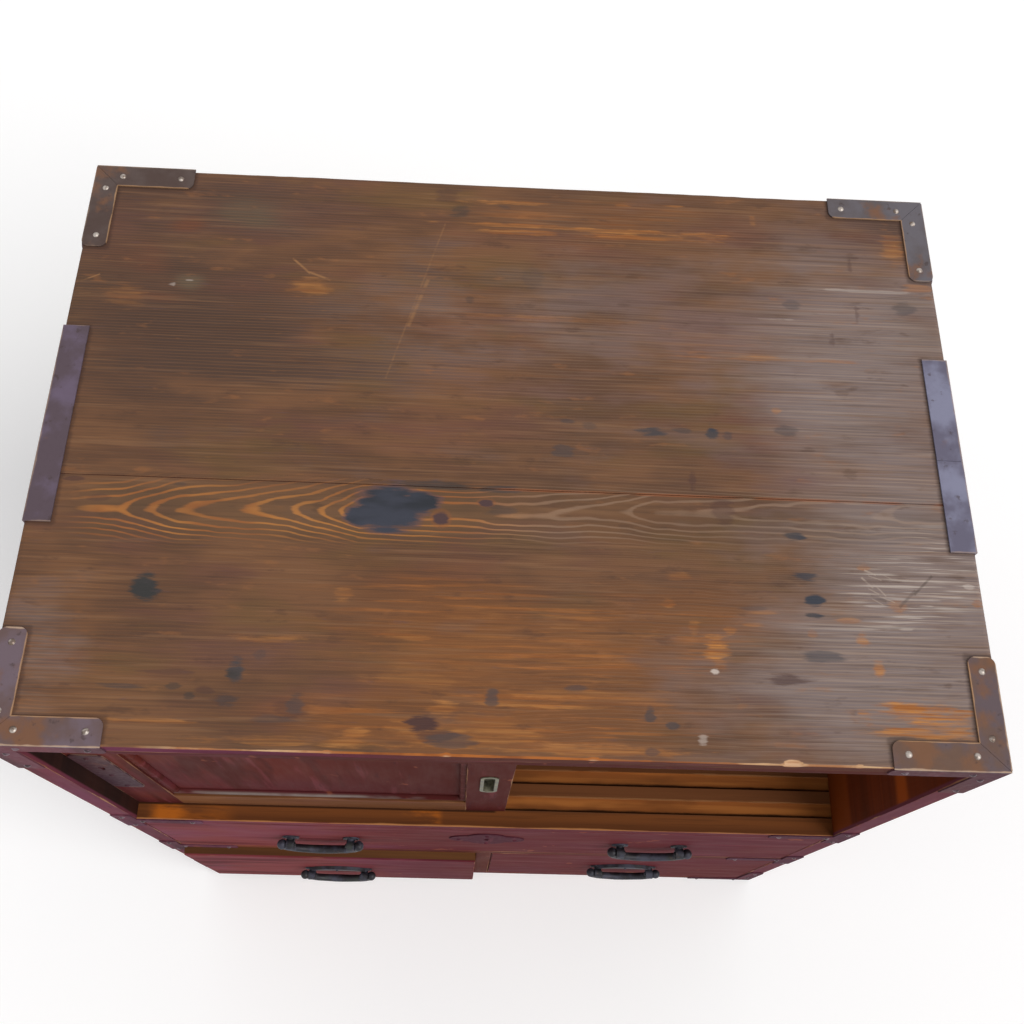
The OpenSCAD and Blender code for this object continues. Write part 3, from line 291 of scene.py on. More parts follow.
def lacquer(node, axis, paint, raw, wear=0.75):
    """Lacquer over wood, rubbed to pale wood in broken lines along the arrises of a board.
    raw(f) gives the share that was never lacquered. Inside a side panel its clouds run along Y."""
    f = Finish("lacquer_" + node, *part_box(node))
    fibre = f.noise(*stretched(axis, 9, 380), detail=4.0, rough=0.6)
    chance = f.noise(*stretched(axis, 14, 60), detail=5.0, rough=0.6, shift=1.0)
    colour = lacquer_colour(f, axis, *paint)
    rubbed = f.fall(f.stir(f.arris(), chance, -5 * MM), -0.3 * MM, 0.7 * MM)
    bare = f.mix(f.rise(fibre, 0.35, 0.65), (150, 88, 50), CREAM)
    colour = f.mix(f.times(rubbed, 0.85 * wear), colour, bare)
    raw_axis = "Y" if "side_panel" in node else axis
    wood = bare_wood_colour(f, raw_axis, *INSIDE_WOOD.get(node, BARE_WOOD))
    colour = f.mix(raw(f), colour, wood)
    rough = f.stir(f.rise(chance, 0.2, 0.8, 0.82, 0.62), fibre, 0.1)
    f.set(Base_Color=colour, Roughness=rough, Normal=f.bump(fibre, 0.1 * MM), Specular_IOR_Level=0.05)
    return f.material


def raw_wood(node, axis, pale=(184, 118, 58), dark=(124, 76, 36), boards=()):
    """Unfinished wood of the inside, with a painted highlight along its arrises. boards are the
    heights from which another board lies, how far off its grain is read, and the tone it leans to."""
    f = Finish("raw_" + node, *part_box(node))
    toned = [(f.next_board(height, move), tone) for height, move, tone in boards]
    fibre = f.noise(*stretched(axis, 8, 400), detail=4.0, rough=0.6)
    colour = bare_wood_colour(f, axis, pale, dark)
    for above, tone in toned:
        colour = f.mix(f.times(above, 0.4), colour, tone)
    # Painted highlight along the arrises.
    light = f.fall(f.arris(), 0.3 * MM, 1.8 * MM)
    colour = f.mix(f.times(light, 0.5), colour, (204, 150, 92))
    f.set(Base_Color=colour, Roughness=f.rise(fibre, 0.0, 1.0, 0.85, 0.65), Normal=f.bump(fibre, 0.15 * MM),
          Specular_IOR_Level=0.15)
    return f.material


# The two grooves of the door sill, each under the middle of a door
GROOVE_W = 14 * MM
DOORS = ("front_door", "rear_door")
GROOVES = [sum(c.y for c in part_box(door + "_left_stile")) / 2 - GROOVE_W / 2 for door in DOORS]


def sill_wood():
    """The door sill: lacquered on its front, bare above, orange on the floors of its grooves, with
    dirt and a painted shade against the front wall of each, a rear rim rubbed light and brightened
    by a painted highlight, a painted shadow at the foot of the front door, and with two bright
    patches worn into its lip."""
    f = Finish("sill_wood")
    low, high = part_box("door_sill")
    x, y, z = f.axes()
    fibre = f.noise(8, 380, 380, detail=4.0, rough=0.6)
    ragged = f.noise(30, 120, 120, detail=4.0, shift=3.0)
    colour = bare_wood_colour(f, "X", (112, 68, 40), (88, 52, 30))
    lip = f.fall(y, GROOVES[0] - 1.5 * MM, GROOVES[0] - 0.5 * MM)
    lip_wood = f.mix(f.rise(y, low.y + 2 * MM, low.y + 11 * MM), (94, 53, 27), (118, 68, 34))
    lip_wood = f.cloud(lip_wood, (72, 42, 24), (10, 300, 300), 0.5, 0.68, 0.35, shift=52.0)
    colour = f.mix(f.times(lip, 0.85), colour, lip_wood)

    sunk = f.fall(z, high.z - 1.6 * MM, high.z - 0.8 * MM)
    floor_wood = f.cloud((142, 83, 41), (166, 102, 50), (5, 130, 130), 0.4, 0.62, shift=54.0)
    floor_wood = f.cloud(floor_wood, (108, 63, 33), (9, 30, 30), 0.52, 0.66, 0.6, shift=56.0)
    colour = f.mix(sunk, colour, floor_wood)
    for groove in GROOVES:
        depth = f.less(y, groove)
        # Dirt and a painted shade against the front wall of each groove.
        groove_shade_and_dirt = f.fall(f.stir(depth, ragged, 4 * MM), 1.6 * MM, 3.4 * MM)
        groove_shade_and_dirt = f.times(groove_shade_and_dirt, f.rise(depth, -0.5 * MM, 0.0), sunk)
        colour = f.mix(f.times(groove_shade_and_dirt, 0.9), colour, (50, 28, 15))
        # The rear rim of each groove: rubbed light, and a painted highlight on the lit arris.
        rim_wear_and_highlight = f.fall(f.off(depth, GROOVE_W), 0.3 * MM, 0.9 * MM)
        rim_wear_and_highlight = f.times(rim_wear_and_highlight, f.patches((16, 40, 40), 0.36, 0.52, 0.7, shift=57.0))
        colour = f.mix(rim_wear_and_highlight, colour, (150, 104, 66))

    at_left = f.times(f.rise(x, -325 * MM, -310 * MM), f.fall(x, -260 * MM, -235 * MM))
    at_left = f.times(at_left, f.rise(x, -298 * MM, -280 * MM, 0.35, 1.0))
    at_middle = f.times(f.rise(x, -85 * MM, -75 * MM), f.fall(x, -52 * MM, -42 * MM, 0.8))
    broken = f.torn(f.noise(14, 60, 60, shift=51.0), ragged, 0.8, 0.36, 0.6, 0.8)
    bright = f.times(f.most(at_left, at_middle), lip, broken)
    colour = f.mix(bright, colour, (190, 104, 30))
    # A painted shadow at the foot of the front door, on the left of the sill.
    door_foot_shadow = f.times(f.rise(y, GROOVES[0] - 3.4 * MM, GROOVES[0] - 2.0 * MM), f.fall(x, 4 * MM, 8 * MM, 0.85))
    colour = f.mix(door_foot_shadow, colour, (40, 22, 14))
    front = f.fall(y, low.y + 0.5 * MM, low.y + 1.1 * MM)
    chance = f.noise(12, 60, 60, detail=5.0, shift=1.0)
    crest = f.math("ADD", f.less(y, low.y), f.less(high.z, z))
    rubbed = f.fall(f.stir(crest, chance, -5 * MM), 0.2 * MM, 1.4 * MM)
    colour = f.mix(front, colour, lacquer_colour(f, "X"))
    colour = f.mix(f.times(rubbed, 0.85), colour, f.mix(fibre, (160, 92, 50), (206, 152, 96)))
    f.set(Base_Color=colour, Roughness=0.75, Normal=f.bump(fibre, 0.15 * MM), Specular_IOR_Level=0.06)
    return f.material


# ---- top wood

# Lacquer on the edges of the top: each colour on the left, and browner on the right
EDGE_PAINT = [((104, 40, 56), (98, 54, 38)), ((98, 36, 64), (90, 48, 38)),
              ((76, 22, 36), (72, 34, 26))]


def right_half(f):
    """1 on the right half of the top, with a soft bound at its middle."""
    return f.rise(f.axes()[0], -50 * MM, 50 * MM)


def cedar_ground(f, ragged, soft):
    """Oiled softwood gone brown in clouds and tints, the shade tint a painted shade, with dark and light
    threads along the grain: orange where the top is warm, grey where it is weathered under a painted
    sheen, and pale where highlights are painted along the grain on the right."""
    wood = f.cloud((98, 70, 53), (118, 83, 59), (9, 30, 30), 0.38, 0.62, shift=2.0)
    wood = f.cloud(wood, (104, 69, 62), (7, 22, 22), 0.5, 0.68, 0.55, shift=9.0)
    wood = f.cloud(wood, (104, 80, 50), (8, 26, 26), 0.52, 0.68, 0.5, shift=21.0)
    for name, colour in TINT_COLOURS.items():
        wood = f.mix(f.torn(f.field(name), soft, 1.2, 0.1, 0.9), wood, colour)
    wood = f.cloud(wood, (74, 54, 44), (9, 340, 340), 0.5, 0.66, 0.34, shift=13.0)
    wood = f.cloud(wood, (150, 112, 82), (9, 300, 300), 0.54, 0.7, 0.26, shift=33.0)
    wood = f.cloud(wood, (80, 58, 48), (40, 110, 110), 0.6, 0.74, 0.45, shift=35.0)
    wood = f.cloud(wood, (148, 98, 62), (34, 120, 120), 0.62, 0.76, 0.4, shift=36.0)
    glow = f.times(f.patches((12, 300, 300), 0.5, 0.64, shift=37.0), f.rise(f.field("warm"), 0.1, 0.9, 0.5))
    glow = f.times(glow, f.patches((12, 30, 30), 0.36, 0.6, shift=39.0))
    wood = f.mix(glow, wood, f.mix(f.rise(ragged, 0.4, 0.6), (156, 92, 44), (188, 116, 56)))
    # Grey patches: weathering, and a painted sheen over the right of the top.
    weathered_and_sheen = f.rise(f.field("grey"), 0.2, 0.9, 0.42)
    wood = f.mix(f.times(f.patches((7, 400, 400), 0.5, 0.66, shift=43.0), weathered_and_sheen), wood, (168, 148, 136))
    # Painted highlights: pale lines along the grain on the right.
    painted_glints = f.rise(f.field("painted_glints"), 0.1, 0.8, 0.6)
    return f.mix(f.times(f.patches((13, 430, 430), 0.5, 0.62, shift=49.0), painted_glints), wood, (205, 192, 182))


def cedar_rings(f, wood, fibre, soft):
    """The hard lines of the growth rings laid over the wood, orange on the left and pale on the right,
    where the pale is partly a painted highlight on the raised rings, strong in the arches and faint
    elsewhere. Gives back the wood and the share of lines."""
    figure = f.field("figure")
    wave = f.math("COSINE", f.times(f.stir(f.field("rings"), fibre, 0.35), 2 * pi))
    hard = f.rise(wave, 0.25, 1.0)
    wood = f.mix(f.times(figure, f.less(1.0, hard), 0.4), wood, (98, 80, 58))
    orange = f.mix(f.rise(soft, 0.4, 0.6), (166, 102, 54), (196, 130, 66))
    # Pale lines on the right: grain, and partly a painted highlight on the raised rings.
    line = f.mix(right_half(f), orange, (160, 134, 112))
    faint = f.math("ADD", f.times(f.field("grey"), 0.26), 0.06)
    return f.mix(f.times(hard, f.most(f.times(figure, 0.85), faint)), wood, line), hard


def cedar_marks(f, wood, fibre, ragged, soft):
    """Worn patches, stains, knots, dents and scratches laid over the wood. Gives back the wood and
    the share of scratches."""

    def marked(name, size, low=0.25, high=0.8):
        """Share of a kind of mark, its outline made ragged along the grain."""
        return f.times(f.torn(f.field(name), ragged, size, low, high), f.field(name + "_share"))

    right = right_half(f)
    threads = f.noise(16, 330, 330, detail=3.0, shift=61.0)
    worn = f.times(marked("worn", 3.6, 0.15, 1.0), f.rise(threads, 0.36, 0.6, 1.0, 0.35))
    wood = f.mix(worn, wood, f.mix(f.rise(fibre, 0.35, 0.65), (148, 88, 44), (196, 134, 74)))
    wood = f.mix(marked("brown", 2.6), wood, (76, 54, 52))
    ink = f.mix(f.rise(soft, 0.42, 0.58), f.mix(right, (54, 55, 55), (48, 58, 70)), (72, 68, 70))
    wood = f.mix(marked("blue", 2.4), wood, ink)
    halo = f.rise(f.field("ring_knot"), 0.1, 0.4)
    wood = f.mix(f.times(halo, 0.35), wood, (140, 88, 56))
    wood = f.mix(f.torn(f.field("ring_knot"), ragged, 1.2, 0.4, 0.8), wood, (82, 62, 62))
    halo = f.torn(f.field("big_knot"), ragged, 1.5, 0.2, 0.5, 0.6)
    wood = f.mix(halo, wood, (100, 76, 78))
    knot = f.torn(f.field("big_knot"), ragged, 1.1, 0.4, 0.7)
    wood = f.mix(knot, wood, f.mix(f.rise(soft, 0.4, 0.6), (50, 52, 58), (64, 66, 76)))
    wood = f.mix(marked("pale", 2.6), wood, (206, 192, 182))
    for *line, strength in DENTS:
        wood = f.mix(f.times(f.stroke(*line), f.rise(ragged, 0.3, 0.55, strength)), wood, (84, 72, 66))
    scored = 0.0
    for *line, strength in SCRATCHES:
        scored = f.most(scored, f.times(f.stroke(*line), strength))
    score = f.mix(right, (168, 122, 80), (186, 168, 154))
    return f.mix(f.times(scored, f.rise(ragged, 0.34, 0.54)), wood, score), scored


def cedar_edges(f, wood, fibre, ragged):
    """Worn wood along the seam, darker wood round the irons, and the lacquer of the front edge with its
    rubbed arris and its chips laid over the wood."""
    x, y, z = f.axes()
    glued = f.times(f.fall(f.off(y, SEAM_Y), 0.6 * MM, 1.5 * MM), f.rise(x, -30 * MM, 0.0))
    wood = f.mix(f.times(glued, f.patches((20, 20, 20), 0.36, 0.56, 0.65)), wood, (148, 88, 56))
    # Darker wood close round the irons.
    darker_by_irons = f.fall(f.stir(f.field("iron"), ragged, 5.0), 1.0, 4.0)
    wood = f.mix(f.times(darker_by_irons, 0.45), wood, (58, 42, 38))
    chance = f.noise(30, 60, 60, detail=4.0, shift=2.0)
    brown = f.times(f.rise(x, -120 * MM, 0.0), f.fall(x, HALF_W - 2 * MM, HALF_W - 1 * MM))
    edge = [f.mix(brown, one, other) for one, other in EDGE_PAINT]
    wood = f.mix(f.field("lacquer"), wood, lacquer_colour(f, "X", *edge))
    rubbed = f.torn(f.field("arris"), chance, 0.8, 0.3, 0.8)
    rubbed = f.times(rubbed, f.patches((14, 14, 14), 0.3, 0.46, shift=59.0))
    middle = f.times(f.rise(x, -160 * MM, -100 * MM), f.fall(x, 100 * MM, 200 * MM))
    bare = f.mix(middle, f.mix(f.rise(chance, 0.4, 0.6), (168, 112, 72), (212, 172, 130)),
                 f.mix(f.rise(chance, 0.4, 0.6), (140, 76, 34), (176, 102, 44)))
    wood = f.mix(f.times(rubbed, 0.85), wood, bare)
    return f.mix(f.field("chip"), wood, f.mix(f.rise(fibre, 0.35, 0.65), (168, 112, 72), (214, 176, 140)))


def top_cedar():
    """The two top boards: oiled softwood gone brown in clouds, the arches of its growth rings
    orange on the left and pale on the right, with blue-black knots and stains, orange wood where
    the finish has gone, and lacquer on the edges."""
    f = Finish("top_cedar")
    fibre = f.noise(10, 430, 430, detail=4.0, rough=0.65)
    ragged = f.noise(34, 230, 230, detail=4.0, rough=0.6, shift=4.0)
    soft = f.noise(14, 40, 40, detail=3.0, shift=6.0)
    wood, hard = cedar_rings(f, cedar_ground(f, ragged, soft), fibre, soft)
    wood, scored = cedar_marks(f, wood, fibre, ragged, soft)
    wood = cedar_edges(f, wood, fibre, ragged)
    rough = f.stir(f.rise(soft, 0.3, 0.7, 0.62, 0.5), fibre, 0.3)
    rough = f.most(rough, f.times(f.field("lacquer"), 0.9))
    height = f.less(f.math("ADD", f.times(hard, 0.35), fibre), scored)
    f.set(Base_Color=wood, Roughness=rough, Normal=f.bump(height, 0.16 * MM), Specular_IOR_Level=0.14)
    return f.material


# Where the top leans to each tint: x, y, half length and half width of a soft patch in
# millimetres from the middle of the top, and how strong it is
TINTS = {
    "warm": [(30, -180, 150, 55, 0.75), (-40, -222, 120, 18, 0.8), (70, 205, 150, 34, 0.6),
             (-165, 128, 30, 16, 0.5), (150, -130, 60, 30, 0.45), (40, 60, 170, 45, 0.3),
             (-60, -130, 90, 30, 0.45), (200, 90, 90, 20, 0.35)],
    # grey: weathering with a painted sheen, most on the right
    "grey": [(310, -70, 100, 110, 0.85), (250, -190, 120, 60, 0.7), (300, 130, 110, 80, 0.6),
             (-320, -180, 45, 50, 0.45), (240, 40, 60, 60, 0.3), (0, 100, 280, 95, 0.36)],
    "mauve": [(-230, 205, 130, 45, 0.6), (20, 50, 110, 26, 0.4), (170, 120, 110, 50, 0.35),
              (-190, -170, 110, 30, 0.3), (210, -25, 120, 26, 0.4), (330, 200, 60, 50, 0.4)],
    # shade: painted shade, darkest at the back-left of the top
    "shade": [(-280, 110, 110, 110, 0.75), (-150, 60, 120, 60, 0.4), (330, 215, 50, 30, 0.5),
              (-40, 150, 80, 30, 0.3), (-235, 215, 150, 26, 0.4)],
    "russet": [(-268, 188, 15, 9, 0.9), (-284, 116, 26, 6, 0.6), (-310, 150, 30, 26, 0.4),
               (-290, 150, 16, 20, 0.3)],
    "moss": [(-260, 131, 15, 9, 0.9), (-226, 206, 34, 14, 0.5), (-180, 190, 50, 30, 0.3),
             (330, 120, 30, 40, 0.3)],
    # Painted highlights along the grain on the right
    "painted_glints": [(304, -104, 52, 18, 0.9), (290, -125, 50, 20, 0.7), (325, -80, 26, 20, 0.5),
                 (240, -150, 60, 20, 0.3), (260, -60, 80, 16, 0.3)],
}
# The shade colour is painted shade, and the grey one is partly a painted sheen.
TINT_COLOURS = {
    "warm": (122, 79, 49), "grey": (129, 114, 111), "mauve": (107, 75, 70),
    "shade": (80, 61, 52), "russet": (106, 68, 52), "moss": (100, 86, 70),
}

# Marks on the top: x, y, half length, half width, strength
MARKS = {
    "big_knot": [(-88, -62, 24, 19, 1), (-66, -56, 15, 9, 1), (-106, -68, 14, 8, 1)],
    "ring_knot": [(-49, -68, 6.5, 6.5, 1), (-16, -54, 6, 3, 1)],
    "blue": [
        (-257, -128, 9, 10, 0.95), (-186, -187, 6, 8, 0.9), (110, 11, 11, 3, 0.9), (157, 13, 5, 6, 0.9),
        (225, -122, 7, 4, 0.9), (224, -134, 7, 2, 0.9), (215, -73, 8, 3, 0.8), (220, -104, 10, 3, 0.7),
        (227, -165, 14, 4, 0.5), (102, -210, 4, 5, 0.7), (117, -218, 5, 3, 0.7), (-8, -201, 5, 6, 0.7),
        (-60, -41, 34, 3, 0.6), (-5, -43, 16, 3, 0.6), (134, 13, 8, 2, 0.5), (169, 10, 3, 3, 0.4),
        (215, 16, 8, 5, 0.4), (41, -8, 8, 5, 0.5), (45, 17, 5, 2, 0.4), (62, 14, 6, 3, 0.35),
        (323, 134, 9, 6, 0.4), (229, 134, 7, 4, 0.35), (102, -236, 5, 3, 0.5), (50, -193, 9, 2, 0.5),
        (16, 149, 9, 10, 0.2), (-34, 125, 4, 3, 0.35), (-46, 214, 9, 6, 0.45), (-8, 220, 6, 2.5, 0.35),
        (-5, -60, 12, 4, 0.35), (-243, -48, 6, 2, 0.35), (-35, -232, 14, 5, 0.6),
        (-263, -201, 14, 2, 0.45), (-227, -200, 5, 2.5, 0.5), (-215, -206, 4, 2.5, 0.5),
        (-189, -209, 8, 4, 0.45), (-142, -210, 6, 7, 0.5), (-156, -221, 16, 3, 0.35),
        (180, -130, 9, 2, 0.35), (-170, -175, 4, 4, 0.3),
    ],
    "brown": [
        (-54, -220, 11, 6, 0.95), (199, -182, 15, 4, 0.65), (162, -55, 8, 10, 0.4),
        (140, -30, 3, 7, 0.45), (-45, -229, 13, 4, 0.6), (-145, -215, 10, 7, 0.4),
        (-191, -209, 9, 4, 0.35), (-205, -202, 6, 3, 0.4), (-235, -190, 16, 2, 0.4),
        (282, 175, 2, 7, 0.4), (283, 128, 2, 7, 0.4), (260, 103, 2, 7, 0.4), (-56, 229, 10, 6, 0.4),
        (-320, -46, 7, 2, 0.6), (-300, -60, 8, 3, 0.35),
    ],
    "worn": [
        (151, -164, 8, 11, 1), (153, -172, 6, 5, 0.9), (296, -204, 32, 8, 1), (300, -216, 34, 6, 0.9),
        (267, -173, 4, 6, 0.7), (286, -126, 6, 4, 0.7), (53, -167, 43, 26, 0.2),
        (-24, -168, 56, 26, 0.15), (-22, -226, 48, 12, 0.45), (117, -128, 5, 3, 0.5),
        (264, -95, 4, 3, 0.55), (346, -121, 4, 3, 0.6), (-232, -224, 29, 2, 0.5),
        (-99, -228, 10, 3, 0.7), (-42, -212, 10, 6, 0.75), (-65, -160, 24, 3, 0.55),
        (-165, -164, 21, 3, 0.4), (-164, 130, 14, 8, 0.45), (-8, 224.5, 34, 2, 0.6),
        (-9, 201, 48, 2, 0.6), (10, 194, 30, 2.5, 0.65),
        (106, 200, 61, 2.2, 0.75), (100, 194, 56, 2, 0.7), (92, 226.6, 6, 1.2, 0.5), (137, 229, 9, 1.4, 0.5),
        (319, 196, 9, 15, 0.45), (335, 154, 12, 4, 0.4), (203, 217, 3, 5, 0.3),
        (211, 81, 70, 2, 0.4), (209, 34, 3, 4, 0.4), (-310, 117, 16, 10, 0.25), (30, -205, 40, 3, 0.5),
        (-130, -236, 60, 3, 0.55), (60, -236, 60, 4, 0.6), (20, 110, 60, 3, 0.25), (119, -129, 5, 2.5, 0.7),
        (135, -145, 5, 5, 0.5), (161, -146, 4, 4, 0.65), (126, -107, 9, 3, 0.35), (177, -143, 8, 1.5, 0.5),
        (187, -133, 10, 2, 0.35), (248, -137, 7, 2, 0.45), (257, -151, 4, 5, 0.6), (221, -148, 3, 4, 0.4),
        (-116, -130, 6, 5, 0.4), (286, -217, 30, 4, 0.95), (60, -200, 50, 8, 0.3), (-60, -190, 30, 6, 0.25),
    ],
    "pale": [
        (149, -178, 3, 2, 0.8), (341, -108, 4, 2, 0.4), (138, -227, 4, 4, 0.4),
        (298, 150, 46, 1.4, 0.3), (218, 119, 22, 1, 0.3), (308, -124, 6, 1, 0.45),
        (270, -125.2, 9, 0.8, 0.4), (290, -142.6, 6, 0.8, 0.35), (300, -119.6, 17, 0.7, 0.4),
        (-272.6, 128.4, 1.6, 2.4, 0.35), (-260, 133, 3, 0.7, 0.35),
    ],
}
# Scratches on the top: both ends and the half width in millimetres, and the strength
SCRATCHES = [
    (265, -98, 272, -101, 1.0, 0.6), (267, -102, 276, -105, 0.6, 0.4),
    (262, -104, 269, -111, 1.0, 0.55), (266, -112, 273, -116, 0.7, 0.45),
    (270, -108, 278, -117, 0.8, 0.45), (274, -118, 284, -122, 0.6, 0.4),
    (268, -120, 275, -124, 0.6, 0.35), (276, -100, 284, -104, 0.5, 0.3),
    (-179, 158, -165, 145, 1.2, 0.6), (-166, 146, -148, 139, 1.3, 0.55),
    (-57, 200, -97, 50, 1.0, 0.2), (-69, 142, -82, 99, 2.0, 0.35),
    (-345, 128, -332, 135, 0.9, 0.5), (-344, 116, -336, 117, 0.7, 0.4),
]
# Dents worn dark: both ends and the half width, and the strength
DENTS = [(314, -101, 300, -115, 1.2, 0.6), (300, -113, 288, -125, 1.5, 0.45),
         (277, -121, 268, -118, 1.6, 0.4)]
# Chips in the front arris: place along it, half length and depth, in millimetres
CHIPS = [(199, 7, 3.2), (-118, 3, 1.0), (62, 4, 1.2), (246, 3, 1.0), (-38, 3, 1.0)]
# Heart of each arch of the growth rings along the front board, in millimetres, and its number
ARCHES = [(-350, -1.5), (-285, -0.3), (-266, 0.7), (-242, 1.7), (-200, 2.7), (-160, 3.7), (-137, 4.5),
          (-123, 5.4), (-108, 6.6), (20, 7.0), (91, 8.3), (111, 9.2), (189, 10.2), (350, 11.2)]
# Bend of an arch at its heart, and the way from ring to ring on the front and rear boards
BEND, FRONT_RING, REAR_RING = 8, 3.8, 2.6
# Distance in millimetres that stands for no iron near
FAR = 99.0


def soft_patches(x, y, patches):
    """Sum of the patches at a place, each its strength times exp(-d^2) at d half widths from its
    middle, and no more than 1."""
    total = np.zeros_like(x)
    for px, py, length, width, strength in patches:
        total += strength * np.exp(-(((x - px) / length) ** 2) - ((y - py) / width) ** 2)
    return np.minimum(total, 1)


def in_mark(x, y, marks):
    """How far a place is inside the nearest mark, 1.5 less its distance from the middle in half
    widths and from 0 to 1, and the strength of that mark."""
    inside, share = np.zeros_like(x), np.zeros_like(x)
    for mx, my, length, width, strength in marks:
        depth = np.clip(1.5 - np.hypot((x - mx) / length, (y - my) / width), 0, 1)
        share = np.where(depth > inside, strength, share)
        inside = np.maximum(inside, depth)
    return inside, share


def beyond_irons(x, y):
    """Distance in millimetres to the outline of the nearest iron on the top."""
    half_x, half_y = HALF_W / MM, -FRONT_Y / MM
    leg, wide = LEG / MM, LEG_W / MM
    away = np.full_like(x, FAR)
    for cx, cy, hx, hy in ((half_x - leg / 2, half_y - wide / 2, leg / 2, wide / 2),
                           (half_x - wide / 2, half_y - leg / 2, wide / 2, leg / 2)):
        past_x = np.maximum(np.abs(np.abs(x) - cx) - hx, 0)
        past_y = np.maximum(np.abs(np.abs(y) - cy) - hy, 0)
        away = np.minimum(away, np.hypot(past_x, past_y))
    low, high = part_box("edge_plates")
    middle, reach = (low.y + high.y) / 2 / MM, (high.y - low.y) / 2 / MM
    past_x = np.maximum(half_x - wide - np.abs(x), 0)
    past_y = np.maximum(np.abs(y - middle) - reach, 0)
    return np.minimum(away, np.hypot(past_x, past_y))


def heart_line(x):
    """Line through the hearts of the arches on the front board: y in millimetres at x."""
    return -62 + 0.027 * x


def growth_rings(x, y):
    """Rings crossed at a place of the top. On the front board the lines are arches about the
    heart line: (sqrt(t^2 + b^2) - b) / g at t from it, with the bend b and the way g from ring
    to ring, closer on the flanks, less the number of the arch whose heart is at x. On the rear
    board they are straight lines."""
    middle = heart_line(x) + 3 * (drift(x / 90, y * 0, 11) - 0.5)
    t = y - middle
    t = np.where(t > 0, t * 0.82, t)
    climb = np.interp(x, *zip(*ARCHES))
    hold = 1 - 0.7 * step(np.abs(t), 24, 60)
    wave = 0.8 * (drift(x / 34, y / 14, 12) - 0.5) + 0.2 * (drift(x / 10, y / 7, 13) - 0.5)
    flank = 0.12 * np.clip(np.abs(t) - 24, 0, None)
    front = (np.sqrt(t * t + BEND ** 2) - BEND) / FRONT_RING + flank - climb * hold + wave
    front += 1.2 * drift(x / 200, y / 30, 14)
    rear = y / REAR_RING + 3.0 * drift(x / 260, y / 34, 15) + 0.4 * drift(x / 50, y / 5, 16)
    return np.where(y < SEAM_Y / MM + 5 * step(-x, 60, 110), front, rear)


def rounding(away, radius):
    """Drop of a rounded arris, r - sqrt(r^2 - (r - d)^2) at d from the edge."""
    inside = np.clip(radius - away, 0, None)
    return radius - np.sqrt(np.maximum(radius * radius - inside * inside, 0))


def top_fields(x, y):
    """What the finish reads at each place of the top, by name: the rings crossed, the distance to
    the irons, the tints and the marks, and how strongly the arches show, which is most near the
    heart line and on the left."""
    fields = {"rings": growth_rings(x, y), "iron": beyond_irons(x, y)}
    for key, patches in TINTS.items():
        fields[key] = soft_patches(x, y, patches)
    for key, marks in MARKS.items():
        fields[key], fields[key + "_share"] = in_mark(x, y, marks)
    near_heart = 1 - step(np.abs(y - heart_line(x)), 14, 30)
    figure = near_heart * step(x, -330, -285) * (1 - 0.45 * step(x, -40, 60))
    fields["figure"] = figure * (0.55 + 0.45 * drift(x / 60, y / 12, 68))
    return fields


def board_skin(name, x, y, height, low, high, on_top):
    """Closed skin of a board over its (x, y) grid: the section at each station of x runs over the
    top at its height, down the back, along the underside and up the front. on_top holds the
    values on the top by name."""
    stations = len(x)
    side_z = np.linspace(0, 1, 9)[1:-1]
    face_z = np.append(side_z, 0.97)
    ones = np.ones((stations, 1))
    under = ones * np.linspace(high[1], low[1], 24)
    back = height[:, -1:] + (low[2] - height[:, -1:]) * side_z
    face = low[2] + (height[:, :1] - low[2]) * face_z
    back_y = ones * high[1] * np.ones_like(side_z)
    face_y = ones * low[1] * np.ones_like(face_z)
    section_y = np.hstack([y, back_y, under, face_y])
    section_z = np.hstack([height, back, low[2] * np.ones_like(under), face])
    section_x = x[:, None] * np.ones_like(section_y)
    points = np.stack([section_x, section_y, section_z], -1) * MM
    columns = section_y.shape[1]

    def all_round(values, elsewhere):
        """Values on the top face, and one value for the rest of the section."""
        return np.hstack([values, np.full((stations, columns - y.shape[1]), elsewhere)]).ravel()

    elsewhere = {"iron": FAR, "lacquer": 1.0}
    fields = {key: (all_round(values, elsewhere.get(key, 0.0)), elsewhere.get(key, 0.0))
              for key, values in on_top.items()}
    caps = [np.arange(columns)[::-1], np.arange(columns) + (stations - 1) * columns]
    return made_mesh(name, points.reshape(-1, 3), ring_faces(stations, columns), caps, fields)


